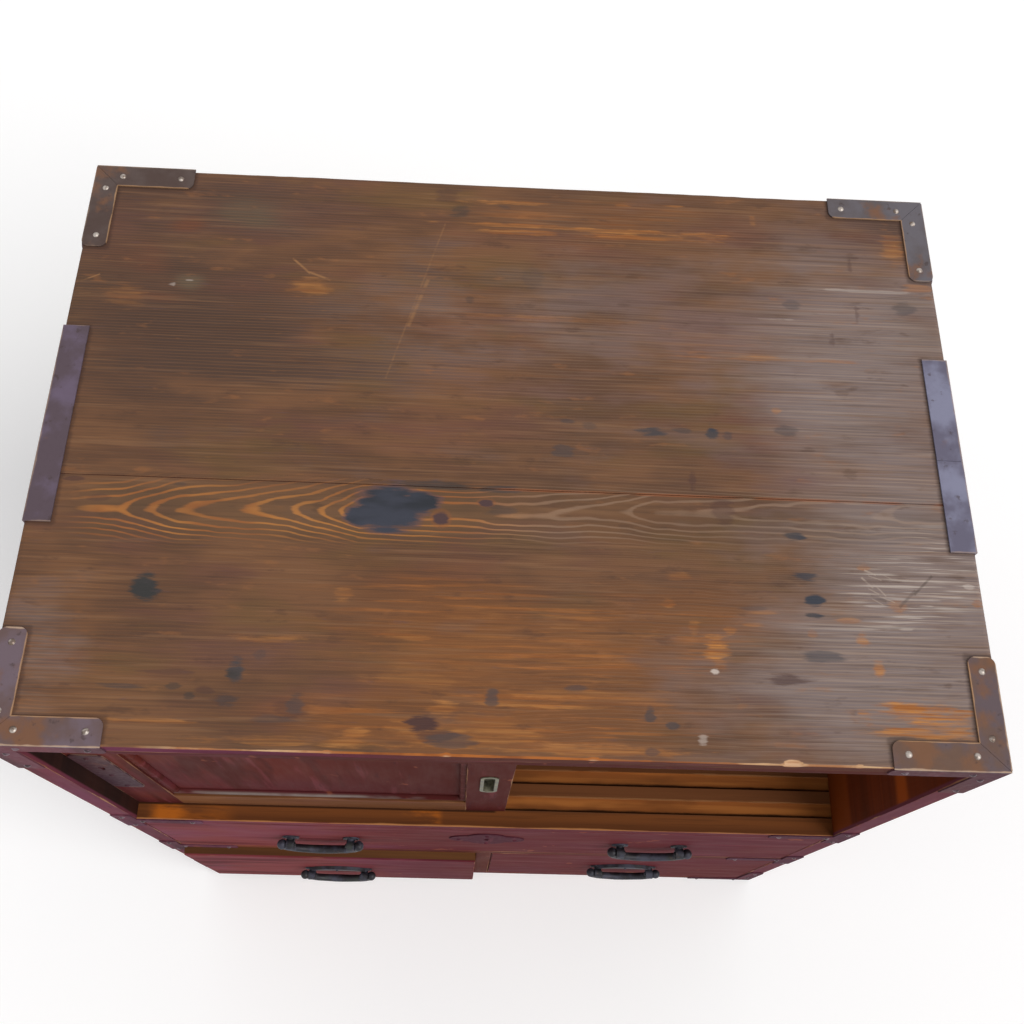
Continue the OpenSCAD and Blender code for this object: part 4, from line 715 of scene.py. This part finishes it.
def top_board(name, low, high, stations, lines, front):
    """A top board, with its height over the (x, y) grid: the board's face, less the hollows
    between the hard rings, the dip of knots and wear, and the rounding of its edges."""
    x = np.linspace(low[0], high[0], stations)
    # The lines lie close together where the long edges are rounded
    near = np.array([0, 0.12, 0.3, 0.55, 0.9, 1.4, 2.0, 2.8])
    between = np.linspace(low[1] + 3.4, high[1] - 0.9, lines)
    y = np.concatenate([low[1] + near, between, high[1] - near[3::-1]])
    gx, gy = np.meshgrid(x, y, indexing="ij")

    on_top = top_fields(gx, gy)
    raised = 0.05 + 0.13 * step(gx, -60, 260)
    relief = raised * (0.5 - 0.5 * np.cos(2 * pi * on_top["rings"]))
    relief += 0.12 * drift(gx / 60, gy / 24, 61) + 0.05 * drift(gx / 30, gy / 1.3, 62)
    relief += 0.25 * step(on_top["big_knot"], 0.4, 0.6) * drift(gx / 3, gy / 3, 63)
    relief += 0.12 * step(on_top["worn"], 0.3, 0.7)

    wear = 0.9 + 1.0 * drift(gx / 55, gx * 0, 64) + 0.5 * drift(gx / 9, gx * 0, 65)
    chip = np.zeros_like(gx)
    for along, reach, depth in CHIPS:
        chip = np.maximum(chip, depth * np.sqrt(np.clip(1 - ((gx - along) / reach) ** 2, 0, 1)))
    tight = np.full_like(gx, 0.35)
    drop_front = rounding(gy - low[1], wear + chip if front else tight)
    drop = drop_front + rounding(high[1] - gy, tight if front else wear)
    ends = np.minimum(gx - low[0], high[0] - gx)
    drop += rounding(ends, 0.6 + 0.8 * drift(gy / 30, gy * 0, 67))
    height = high[2] - np.minimum(relief + drop, 6.0)
    on_top["chip"] = front * step(chip - 0.7 * (gy - low[1]), 0.2, 1.2)
    on_top["lacquer"] = front * (1 - step(gy - low[1], 0.05, 0.3))
    on_top["arris"] = front * np.clip(drop_front / 0.2, 0, 1)
    return board_skin(name, x, gy, height, low, high, on_top)


# ---- metals


def plate_iron(node, tones, rust_share, painted=0.0, rims=0.7, shine=0.25):
    """Thin plate beaten flat: two tones in clouds, those on the left first, under a bloom of
    rust, scaly and rubbed, bright along its rims, which are rubbed metal and a painted highlight.
    painted is how much lacquer lies on it below the top. A corner iron is rubbed and given a painted
    highlight along its inner outline too: the greater of the ways past its inner corner along X and Y
    is the distance to it."""
    f = Finish(node + "_iron", *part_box(node))
    x, y, z = f.axes()
    if len(tones) > 2:
        at_right = f.rise(x, -10 * MM, 10 * MM)
        tones = [f.mix(at_right, left, right) for left, right in zip(tones[:2], tones[2:])]
    fine = f.noise(260, 260, 260, detail=3.0, shift=3.0)
    hammer = f.noise(70, 70, 70, detail=2.0, shift=8.0)
    bloom = f.patches((30, 30, 30), 0.66 - rust_share, 0.8 - rust_share, shift=15.0, detail=5.0)
    colour = f.mix(f.patches((26, 26, 26), 0.4, 0.6, detail=4.0), *tones)
    colour = f.mix(f.times(bloom, 0.85), colour, RUST)
    colour = f.cloud(colour, (70, 56, 54), (120, 120, 120), 0.6, 0.7, 0.6, shift=27.0, detail=4.0)
    # Bright rims: rubbed metal and a painted highlight along the edges.
    rim_wear_and_highlight = f.fall(f.stir(f.arris(), hammer, -3 * MM), 0.2 * MM, 1.2 * MM)
    colour = f.mix(f.times(rim_wear_and_highlight, rims), colour, (196, 166, 140))
    if "corner" in node:
        past_x = f.less(f.math("ABSOLUTE", x), HALF_W - LEG_W)
        past_y = f.less(f.math("ABSOLUTE", y), -FRONT_Y - LEG_W)
        # The inner outline of a corner iron: rubbed and given a painted highlight.
        rim_wear_and_highlight = f.fall(f.stir(f.most(past_x, past_y), hammer, -2 * MM), 0.2 * MM, 1.0 * MM, 0.65)
        colour = f.mix(rim_wear_and_highlight, colour, (190, 148, 108))
    below = f.fall(z, TOP_Z - 1.5 * MM, TOP_Z - 0.5 * MM, painted)
    colour = f.mix(below, colour, lacquer_colour(f, "Z", (98, 51, 63), (92, 52, 73), (68, 33, 43)))
    metal = f.times(f.less(1.0, f.most(bloom, below)), shine)
    rough = f.stir(f.rise(below, 0.0, 1.0, 0.8, 0.5), fine, 0.5)
    height = f.math("ADD", hammer, f.times(fine, 0.15))
    f.set(Base_Color=colour, Metallic=metal, Roughness=rough, Normal=f.bump(height, 0.4 * MM),
          Specular_IOR_Level=0.8 * shine)
    return f.material


def black_iron():
    """Blackened iron of the handles: near black, blue-grey where it is rubbed, greenish in the
    lows."""
    f = Finish("black_iron")
    cloud = f.noise(90, 90, 90, detail=4.0)
    hammer = f.noise(150, 150, 150, detail=1.5, shift=6.0)
    colour = f.mix(f.rise(cloud, 0.42, 0.62), (34, 32, 37), (60, 60, 72))
    colour = f.cloud(colour, (50, 54, 48), (55, 55, 55), 0.52, 0.68, 0.7, shift=12.0)
    colour = f.cloud(colour, (96, 74, 64), (200, 200, 200), 0.62, 0.72, 0.5, shift=18.0)
    f.set(Base_Color=colour, Metallic=0.3, Roughness=f.rise(cloud, 0.3, 0.7, 0.62, 0.45),
          Normal=f.bump(hammer, 0.35 * MM), Specular_IOR_Level=0.35)
    return f.material


def nail_head(name, dull, bright):
    """Domed nail heads, dull with rubbed bright spots."""
    f = Finish(name)
    cloud = f.noise(210, 210, 210, detail=3.0)
    colour = f.mix(f.rise(cloud, 0.4, 0.6), dull, bright)
    f.set(Base_Color=colour, Metallic=0.6, Roughness=f.rise(cloud, 0.3, 0.7, 0.5, 0.3),
          Normal=f.bump(cloud, 0.25 * MM))
    return f.material


def pull_metal():
    """Grey-green copper alloy of the finger pulls."""
    f = Finish("pull_metal")
    cloud = f.noise(120, 120, 120, detail=4.0)
    colour = f.mix(f.rise(cloud, 0.4, 0.62), (74, 72, 58), (118, 114, 94))
    colour = f.cloud(colour, (52, 44, 38), (70, 70, 70), 0.55, 0.7, 0.7, shift=9.0)
    f.set(Base_Color=colour, Metallic=0.4, Roughness=f.rise(cloud, 0.3, 0.7, 0.6, 0.4),
          Normal=f.bump(cloud, 0.2 * MM))
    return f.material


# ---- making pieces


def made_mesh(name, points, quads, caps, fields=()):
    """A mesh from an array of points, one of four-cornered faces and a few larger closing
    faces. fields holds values at the points by name, with the value on the closing faces."""
    mesh = bpy.data.meshes.new(name)
    corners = np.concatenate([quads.ravel(), *[np.asarray(c).ravel() for c in caps]]).astype(int)
    sizes = np.concatenate([np.full(len(quads), 4), [len(c) for c in caps]]).astype(int)
    mesh.vertices.add(len(points))
    mesh.vertices.foreach_set("co", points.astype(float).ravel())
    mesh.loops.add(len(corners))
    mesh.loops.foreach_set("vertex_index", corners)
    mesh.polygons.add(len(sizes))
    mesh.polygons.foreach_set("loop_start", np.concatenate([[0], np.cumsum(sizes)[:-1]]))
    mesh.update(calc_edges=True)
    for key, (values, on_caps) in dict(fields).items():
        spread = values[corners]
        spread[quads.size:] = on_caps
        layer = mesh.attributes.new(key, "FLOAT", "CORNER")
        layer.data.foreach_set("value", spread)
    mesh.shade_smooth()
    mesh.set_sharp_from_angle(angle=SHARP_FROM)
    return mesh


def lay(mesh, material, body, slot, *nodes):
    """Puts a finished mesh on its body in place of the solids that it stands for."""
    mesh.materials.append(material)
    piece = bpy.data.objects.new(mesh.name, mesh)
    bpy.context.scene.collection.objects.link(piece)
    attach(piece, body)
    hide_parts(*nodes)
    return piece


def dress(node, material):
    """Gives a solid that stays as it is its finish."""
    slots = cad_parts[node].data.materials
    slots.clear()
    slots.append(material)


def ring_faces(rows, columns, start=0):
    """Faces of a tube of so many rings with columns points each, the last joined to the first."""
    i, j = np.meshgrid(np.arange(rows - 1), np.arange(columns), indexing="ij")
    k = (j + 1) % columns
    faces = np.stack([i * columns + j, i * columns + k, (i + 1) * columns + k, (i + 1) * columns + j], -1)
    return faces.reshape(-1, 4) + start


def eased(node, ease, material, slot, body):
    """A copy of a board or plate with its arrises eased by so many millimetres: its points
    merged, each flat made one face, the edges bevelled, and the shading kept flat on the large
    faces."""
    work = bmesh.new()
    work.from_mesh(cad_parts[node].data)
    bmesh.ops.remove_doubles(work, verts=work.verts, dist=ONE_POINT)
    bmesh.ops.dissolve_limit(work, angle_limit=ONE_FLAT, verts=work.verts, edges=work.edges)
    mesh = bpy.data.meshes.new(node + "_eased")
    work.to_mesh(mesh)
    work.free()
    mesh.shade_smooth()
    piece = lay(mesh, material, body, slot, node)
    bevel = piece.modifiers.new("ease", "BEVEL")
    bevel.width = ease * MM
    bevel.segments = 2
    bevel.limit_method = "ANGLE"
    bevel.angle_limit = EASED_FROM
    flat = piece.modifiers.new("flat", "WEIGHTED_NORMAL")
    flat.mode = "FACE_AREA"
    flat.weight = 100


# ---- top boards

TOP_WOOD = top_cedar()
# Width of the seam in millimetres. The tongue under it stays hidden
SEAM_GAP = 0.4
for place, stations, lines in (("front", 320, 249), ("rear", 260, 330)):
    low, high = (np.array(c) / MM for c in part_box("top_board_" + place))
    if place == "rear":
        low[1] = SEAM_Y / MM + SEAM_GAP
    board = top_board(f"top_{place}_board", low, high, stations, lines, place == "front")
    lay(board, TOP_WOOD, "carcase", "top_wood", "top_board_" + place)

# ---- boards

# Lacquers, each in its red, plum and deep tone, and the pale and dark tones of the wood that is
# left bare beside them
FRONT_PAINT = (RED, PLUM, DEEP)
DOOR_PAINT = ((92, 36, 28), (84, 34, 38), (66, 24, 20))
FOOT_PAINT = ((128, 84, 50), (112, 72, 48), (94, 58, 36))
SIDE_PAINT = ((108, 52, 64), (106, 54, 74), (90, 42, 52))
BAND_PAINT = ((118, 62, 46), (102, 50, 52), (74, 32, 27))
BAND_WOOD = ((405 * MM, 474 * MM, (122, 55, 16)), (576 * MM, 616 * MM, (168, 76, 18)))
# Pale grey of a painted highlight on the lowest strip of the door beads.
BEAD_HIGHLIGHT = ((158, 150, 144), (106, 94, 86))
INSIDE_WOOD = {
    # The left panel's inside is the same wood as the right one's, painted near black: painted shade in the
    # bay.
    "side_panel_left": ((48, 25, 20), (32, 17, 15)),
    "side_panel_right": ((96, 38, 13), (70, 27, 10), BAND_WOOD),
    "lower_left_front": ((118, 77, 44), (82, 52, 32)),
    "front_door_bead": BEAD_HIGHLIGHT,
    "rear_door_bead": BEAD_HIGHLIGHT,
}


def behind(depth):
    """Share of a front board that is bare: all that lies further back than depth."""
    return lambda f: f.rise(f.axes()[1], f.low.y + depth, f.low.y + depth + 0.5 * MM)


# Bare wood at the back of most fronts
BACK = behind(8 * MM)


def inside_case(f):
    """Bare on the inner face of a side panel, from just behind its front edge."""
    x, y, z = f.axes()
    inner = f.less(INNER_X + 0.5 * MM, f.math("ABSOLUTE", x))
    return f.times(f.rise(inner, 0.0, 0.5 * MM), f.rise(y, FRONT_Y + 2 * MM, FRONT_Y + 4 * MM))


def back_and_top(f):
    """Bare at the back of a drawer front and on its upper edge."""
    x, y, z = f.axes()
    top = f.rise(z, f.high.z - 0.7 * MM, f.high.z - 0.3 * MM)
    top = f.times(top, f.rise(y, f.low.y + 1.5 * MM, f.low.y + 2.5 * MM))
    return f.most(top, BACK(f))


def lit_bead_strip(f):
    """A painted highlight on the lowest strip of the bead, broken into patches."""
    strip = f.fall(f.axes()[2], f.low.z + 5 * MM, f.low.z + 6 * MM)
    return f.times(strip, f.patches((20, 50, 50), 0.36, 0.6, 0.7, shift=58.0))


# Lacquered boards: body, grain, ease of the arrises in millimetres, lacquer, and what is bare
FRONT_BOARDS = {
    "side_panel_left": ("carcase", "Z", 0.8, SIDE_PAINT, inside_case),
    "side_panel_right": ("carcase", "Z", 0.8, SIDE_PAINT, inside_case),
    "door_head_rail": ("carcase", "X", 0.5, DOOR_PAINT, BACK),
    "drawer_rail": ("carcase", "X", 0.8, BAND_PAINT, BACK),
    "divider_post": ("carcase", "Z", 0.8, BAND_PAINT, BACK),
    "upper_drawer_front": ("upper_drawer", "X", 0.8, FRONT_PAINT, BACK),
    "lower_left_front": ("lower_left_drawer", "X", 0.8, FRONT_PAINT, back_and_top),
    "lower_right_front": ("lower_right_drawer", "X", 0.8, FRONT_PAINT, BACK),
}
for door in DOORS:
    for part, axis in (("left_stile", "Z"), ("right_stile", "Z"), ("top_rail", "X"), ("bottom_rail", "X")):
        paint = FOOT_PAINT if part == "bottom_rail" else DOOR_PAINT
        FRONT_BOARDS[f"{door}_{part}"] = (door, axis, 0.8, paint, behind(12 * MM))
    # The lowest strip of the bead takes a painted highlight.
    FRONT_BOARDS[door + "_bead"] = (door, "X", 0.5, DOOR_PAINT, lit_bead_strip)
FRONT_BOARDS["bottom_board"] = ("carcase", "X", 0.8, FRONT_PAINT, behind(2 * MM))

for node, (body, axis, ease, paint, raw) in FRONT_BOARDS.items():
    finish = lacquer(node, axis, paint, raw, 0.4 if "door" in node or "post" in node else 0.75)
    eased(node, ease, finish, "raw_wood" if node == "bottom_board" else "lacquered_wood", body)
for door in DOORS:
    dress(door + "_panel", lacquer(door + "_panel", "Z", DOOR_PAINT, behind(3 * MM)))

# Bare boards: body, grain, and the ease of the arrises, where they show
RAW_BOARDS = {
    "back_boards": ("carcase", "X", 0.8),
    "bay_floor_board": ("carcase", "X", None),
    "dust_board": ("carcase", "X", None),
    "divider_board": ("carcase", "Y", None),
    "upper_drawer_side_left": ("upper_drawer", "Y", 0.6),
    "upper_drawer_side_right": ("upper_drawer", "Y", 0.6),
    "lower_left_sides": ("lower_left_drawer", "Y", 0.6),
    "lower_right_sides": ("lower_right_drawer", "Y", 0.6),
}
for drawer, body in (("upper_drawer", "upper_drawer"), ("lower_left", "lower_left_drawer"),
                     ("lower_right", "lower_right_drawer")):
    RAW_BOARDS[f"{drawer}_back"] = (body, "X", 0.6)
    RAW_BOARDS[f"{drawer}_bottom"] = (body, "X", None)

# The back is three boards of one height, each with grain and a tone of its own
BACK_BOARD_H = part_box("back_boards")[1].z / 3
MIDDLE_BACK = (BACK_BOARD_H, (0.71, 0.0, 0.33), (104, 74, 50))
UPPER_BACK = (2 * BACK_BOARD_H, (-1.37, 0.0, 0.21), (154, 112, 70))
RAW_WOOD = {
    "bay_floor_board": ((208, 118, 46), (150, 78, 30)),
    "back_boards": ((148, 106, 68), (114, 78, 50), (MIDDLE_BACK, UPPER_BACK)),
}

for node, (body, axis, ease) in RAW_BOARDS.items():
    finish = raw_wood(node, axis, *RAW_WOOD.get(node, ()))
    if ease is None:
        dress(node, finish)
    else:
        eased(node, ease, finish, "raw_wood", body)
eased("door_sill", 0.5, sill_wood(), "raw_wood", "carcase")

# ---- ironwork

# Two tones of each iron, or two for the left half and two for the right one
BROWN_IRON = ((104, 84, 82), (112, 96, 104), (104, 80, 68), (96, 82, 86))
BACK_IRON = ((82, 66, 61), (92, 78, 74), (94, 86, 88), (104, 99, 105))
EDGE_IRON = ((90, 76, 84), (106, 92, 110), (102, 98, 116), (132, 132, 154))
VIOLET_IRON = ((90, 78, 98), (108, 106, 128))
LOCK_IRON = ((46, 36, 36), (62, 50, 50))
RUST = (122, 84, 60)
BLACK_IRON = black_iron()
PULL = pull_metal()

# Iron plates: body, ease of the arrises in millimetres, tones, and the rest as plate_iron takes it
IRONS = {
    "corner_irons_front": ("carcase", 0.35, BROWN_IRON, 0.16, 0.9),
    "corner_irons_back": ("carcase", 0.35, BACK_IRON, 0.12, 0.5, 0.25),
    "edge_plates": ("carcase", 0.3, EDGE_IRON, 0.0, 0.3, 0.35),
    "front_irons": ("carcase", 0.3, VIOLET_IRON, 0.05, 0.95, 0.3, 0.1),
    "front_door_lock_plate": ("front_door", 0.3, LOCK_IRON, 0.04, 0.3, 0.4, 0.05),
    "upper_drawer_lock_plate": ("upper_drawer", 0.3, LOCK_IRON, 0.04, 0.9, 0.2, 0.05),
}
# Ease of the small metal pieces, and the body that carries each set of handle posts
SMALL_EASE = 0.25
POSTS = {
    "carry_posts": "carcase", "upper_drawer_posts": "upper_drawer",
    "lower_left_posts": "lower_left_drawer", "lower_right_posts": "lower_right_drawer",
}

for node, (body, ease, *look) in IRONS.items():
    eased(node, ease, plate_iron(node, *look), "plate_iron", body)
for door in DOORS:
    eased(door + "_pull", SMALL_EASE, PULL, "pull_metal", door)
for node, body in POSTS.items():
    eased(node, SMALL_EASE, BLACK_IRON, "black_iron", body)
dress("upper_drawer_lock_case", plate_iron("upper_drawer_lock_case", VIOLET_IRON, 0.1))
dress("upper_drawer_lock_bolt", BLACK_IRON)
dress("top_nails", nail_head("top_nail", (112, 96, 86), (184, 174, 166)))
dress("face_nails", nail_head("face_nail", (62, 44, 50), (110, 90, 98)))

# ---- bail handles

# Radii of a bail in millimetres: its knobs, its arms where they start, its pins, and its middle
# on a drawer and at the side
KNOB_R, ARM_R, PIN_R = 5.2, 3.8, 2.2
DRAWER_MID_R, CARRY_MID_R = 4.4, 5.5
# How far a pin reaches in from the middle of its knob, and the chamfer at its end
PIN_REACH, PIN_CHAMFER = 13.7, 0.4


def bail(node, mid_r, across):
    """A forged crescent that hangs from its pivots along axis across. Its middle line is
    (a sin s, -b cos^0.8 s) for s from -90 to 90 degrees, its radius grows to the middle with
    cos^1.5 s, and on each arm a ball, cut flat inside, is turned with the pin in one piece."""
    low, high = (np.array(c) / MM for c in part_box(node))
    middle = (low + high) / 2
    pivot_z = high[2] - KNOB_R
    half = (high[across] - low[across]) / 2 - KNOB_R
    drop = pivot_z - low[2] - mid_r
    s = np.linspace(-pi / 2, pi / 2, 65)
    hang = np.maximum(np.cos(s), 0)
    path = np.stack([half * np.sin(s), -drop * hang ** 0.8], -1)
    heading = np.gradient(path, axis=0)
    heading[0], heading[-1] = (0, -1), (0, 1)
    heading /= np.linalg.norm(heading, axis=1)[:, None]
    a = np.linspace(0, 2 * pi, 20, endpoint=False)
    forged = 1 - 0.06 * drift(s[:, None] * 7 + 9, np.cos(a) * 2 + 5, 71)
    radius = (ARM_R + (mid_r - ARM_R) * hang ** 1.5)[:, None] * forged
    points = [np.stack([path[:, :1] - heading[:, 1:] * radius * np.cos(a), radius * np.sin(a),
                        path[:, 1:] + heading[:, :1] * radius * np.cos(a)], -1)]
    b = np.linspace(np.arccos(-ARM_R / KNOB_R), 0.12, 12)
    reach = np.concatenate([[-PIN_REACH, PIN_CHAMFER - PIN_REACH, -ARM_R], KNOB_R * np.cos(b)])
    turned = np.concatenate([[PIN_R - PIN_CHAMFER, PIN_R, PIN_R], KNOB_R * np.sin(b)])[:, None]
    for side in (-1, 1):
        along = side * (half + reach)[:, None] * np.ones_like(a)
        points.append(np.stack([along, turned * np.cos(a), turned * np.sin(a)], -1))
    quads, caps, start = [], [], 0
    for grid in points:
        rows, columns = grid.shape[:2]
        quads.append(ring_faces(rows, columns, start))
        caps += [np.arange(columns) + start, np.arange(columns) + start + (rows - 1) * columns]
        start += rows * columns
    flat = np.concatenate([grid.reshape(-1, 3) for grid in points])
    placed = np.zeros_like(flat)
    placed[:, across] = middle[across] + flat[:, 0]
    placed[:, 1 - across] = middle[1 - across] + flat[:, 1]
    placed[:, 2] = pivot_z + flat[:, 2]
    mesh = made_mesh(node + "_forged", placed * MM, np.concatenate(quads), caps)
    work = bmesh.new()
    work.from_mesh(mesh)
    bmesh.ops.recalc_face_normals(work, faces=work.faces)
    work.to_mesh(mesh)
    work.free()
    return mesh


for node in ("upper_bail_left", "upper_bail_right", "lower_left_bail", "lower_right_bail"):
    lay(bail(node, DRAWER_MID_R, 0), BLACK_IRON, node, "black_iron", node)
for node in ("carry_bail_left", "carry_bail_right"):
    lay(bail(node, CARRY_MID_R, 1), BLACK_IRON, node, "black_iron", node)

# ---- floor, light and camera

# Half size of the floor in metres, strength of the sky, and of the lamp and its width
FLOOR_HALF = 6.0
SKY = 0.56
LAMP, LAMP_WIDTH = 1.8, radians(40)
LAMP_COLOUR = (1.0, 0.99, 0.975)
LAMP_FROM = Vector((0.62, -0.38, 0.72))
# Lens in millimetres on a frame 36 mm wide, the eye, and the view's right, ahead and down
LENS, FRAME_W = 39.09, 36
EYE = (-0.0256, -0.3929, 1.5036)
RIGHT, AHEAD = Vector((0.9988, 0.0182, 0.0463)), Vector((0.0351, 0.4021, -0.9149))
DOWN = Vector((0.0352, -0.9154, -0.401))


def seen(tree):
    """1 for what the camera, a reflection or a view through glass sees."""
    path = tree.nodes.new("ShaderNodeLightPath")
    result = path.outputs["Is Camera Ray"]
    for kind in ("Glossy", "Transmission"):
        either = tree.nodes.new("ShaderNodeMath")
        either.operation = "MAXIMUM"
        tree.links.new(result, either.inputs[0])
        tree.links.new(path.outputs[f"Is {kind} Ray"], either.inputs[1])
        result = either.outputs[0]
    return result


def floor():
    """A pale floor, seen a little brighter by the camera and in reflections."""
    mesh = bpy.data.meshes.new("floor")
    corners = [(x * FLOOR_HALF, y * FLOOR_HALF, 0) for x, y in ((-1, -1), (1, -1), (1, 1), (-1, 1))]
    mesh.from_pydata(corners, [], [(0, 1, 2, 3)])
    f = Finish("floor_paper")
    f.set(Base_Color=f.mix(f.noise(3, 3, 3, detail=2.0), (244, 244, 245), (248, 248, 248)), Roughness=0.9,
          Emission_Color=(1, 1, 1, 1), Emission_Strength=f.times(seen(f.tree), 0.15))
    mesh.materials.append(f.material)
    piece = bpy.data.objects.new("floor", mesh)
    bpy.context.scene.collection.objects.link(piece)


def light():
    """Soft light from high on the right, and an even pale sky that is seen as white."""
    world = bpy.data.worlds.new("studio")
    bpy.context.scene.world = world
    world.use_nodes = True
    sky = world.node_tree
    background = sky.nodes["Background"]
    background.inputs["Color"].default_value = (1, 1, 1, 1)
    rays = sky.nodes.new("ShaderNodeMapRange")
    rays.inputs["To Min"].default_value = SKY
    rays.inputs["To Max"].default_value = 1.0
    sky.links.new(seen(sky), rays.inputs["Value"])
    sky.links.new(rays.outputs["Result"], background.inputs["Strength"])
    lamp = bpy.data.lights.new("window", "SUN")
    lamp.energy = LAMP
    lamp.angle = LAMP_WIDTH
    lamp.color = LAMP_COLOUR
    holder = bpy.data.objects.new("window", lamp)
    holder.rotation_euler = LAMP_FROM.to_track_quat("Z", "Y").to_euler()
    bpy.context.scene.collection.objects.link(holder)


def camera():
    """A standing onlooker's view down on the chest from in front."""
    lens = bpy.data.cameras.new("onlooker")
    lens.sensor_width = FRAME_W
    lens.lens = LENS
    holder = bpy.data.objects.new("onlooker", lens)
    turn = Matrix((RIGHT, -DOWN, -AHEAD)).transposed()
    holder.matrix_world = Matrix.Translation(EYE) @ turn.to_4x4()
    bpy.context.scene.collection.objects.link(holder)
    bpy.context.scene.camera = holder


floor()
light()
camera()
bpy.context.scene.view_settings.view_transform = "Standard"
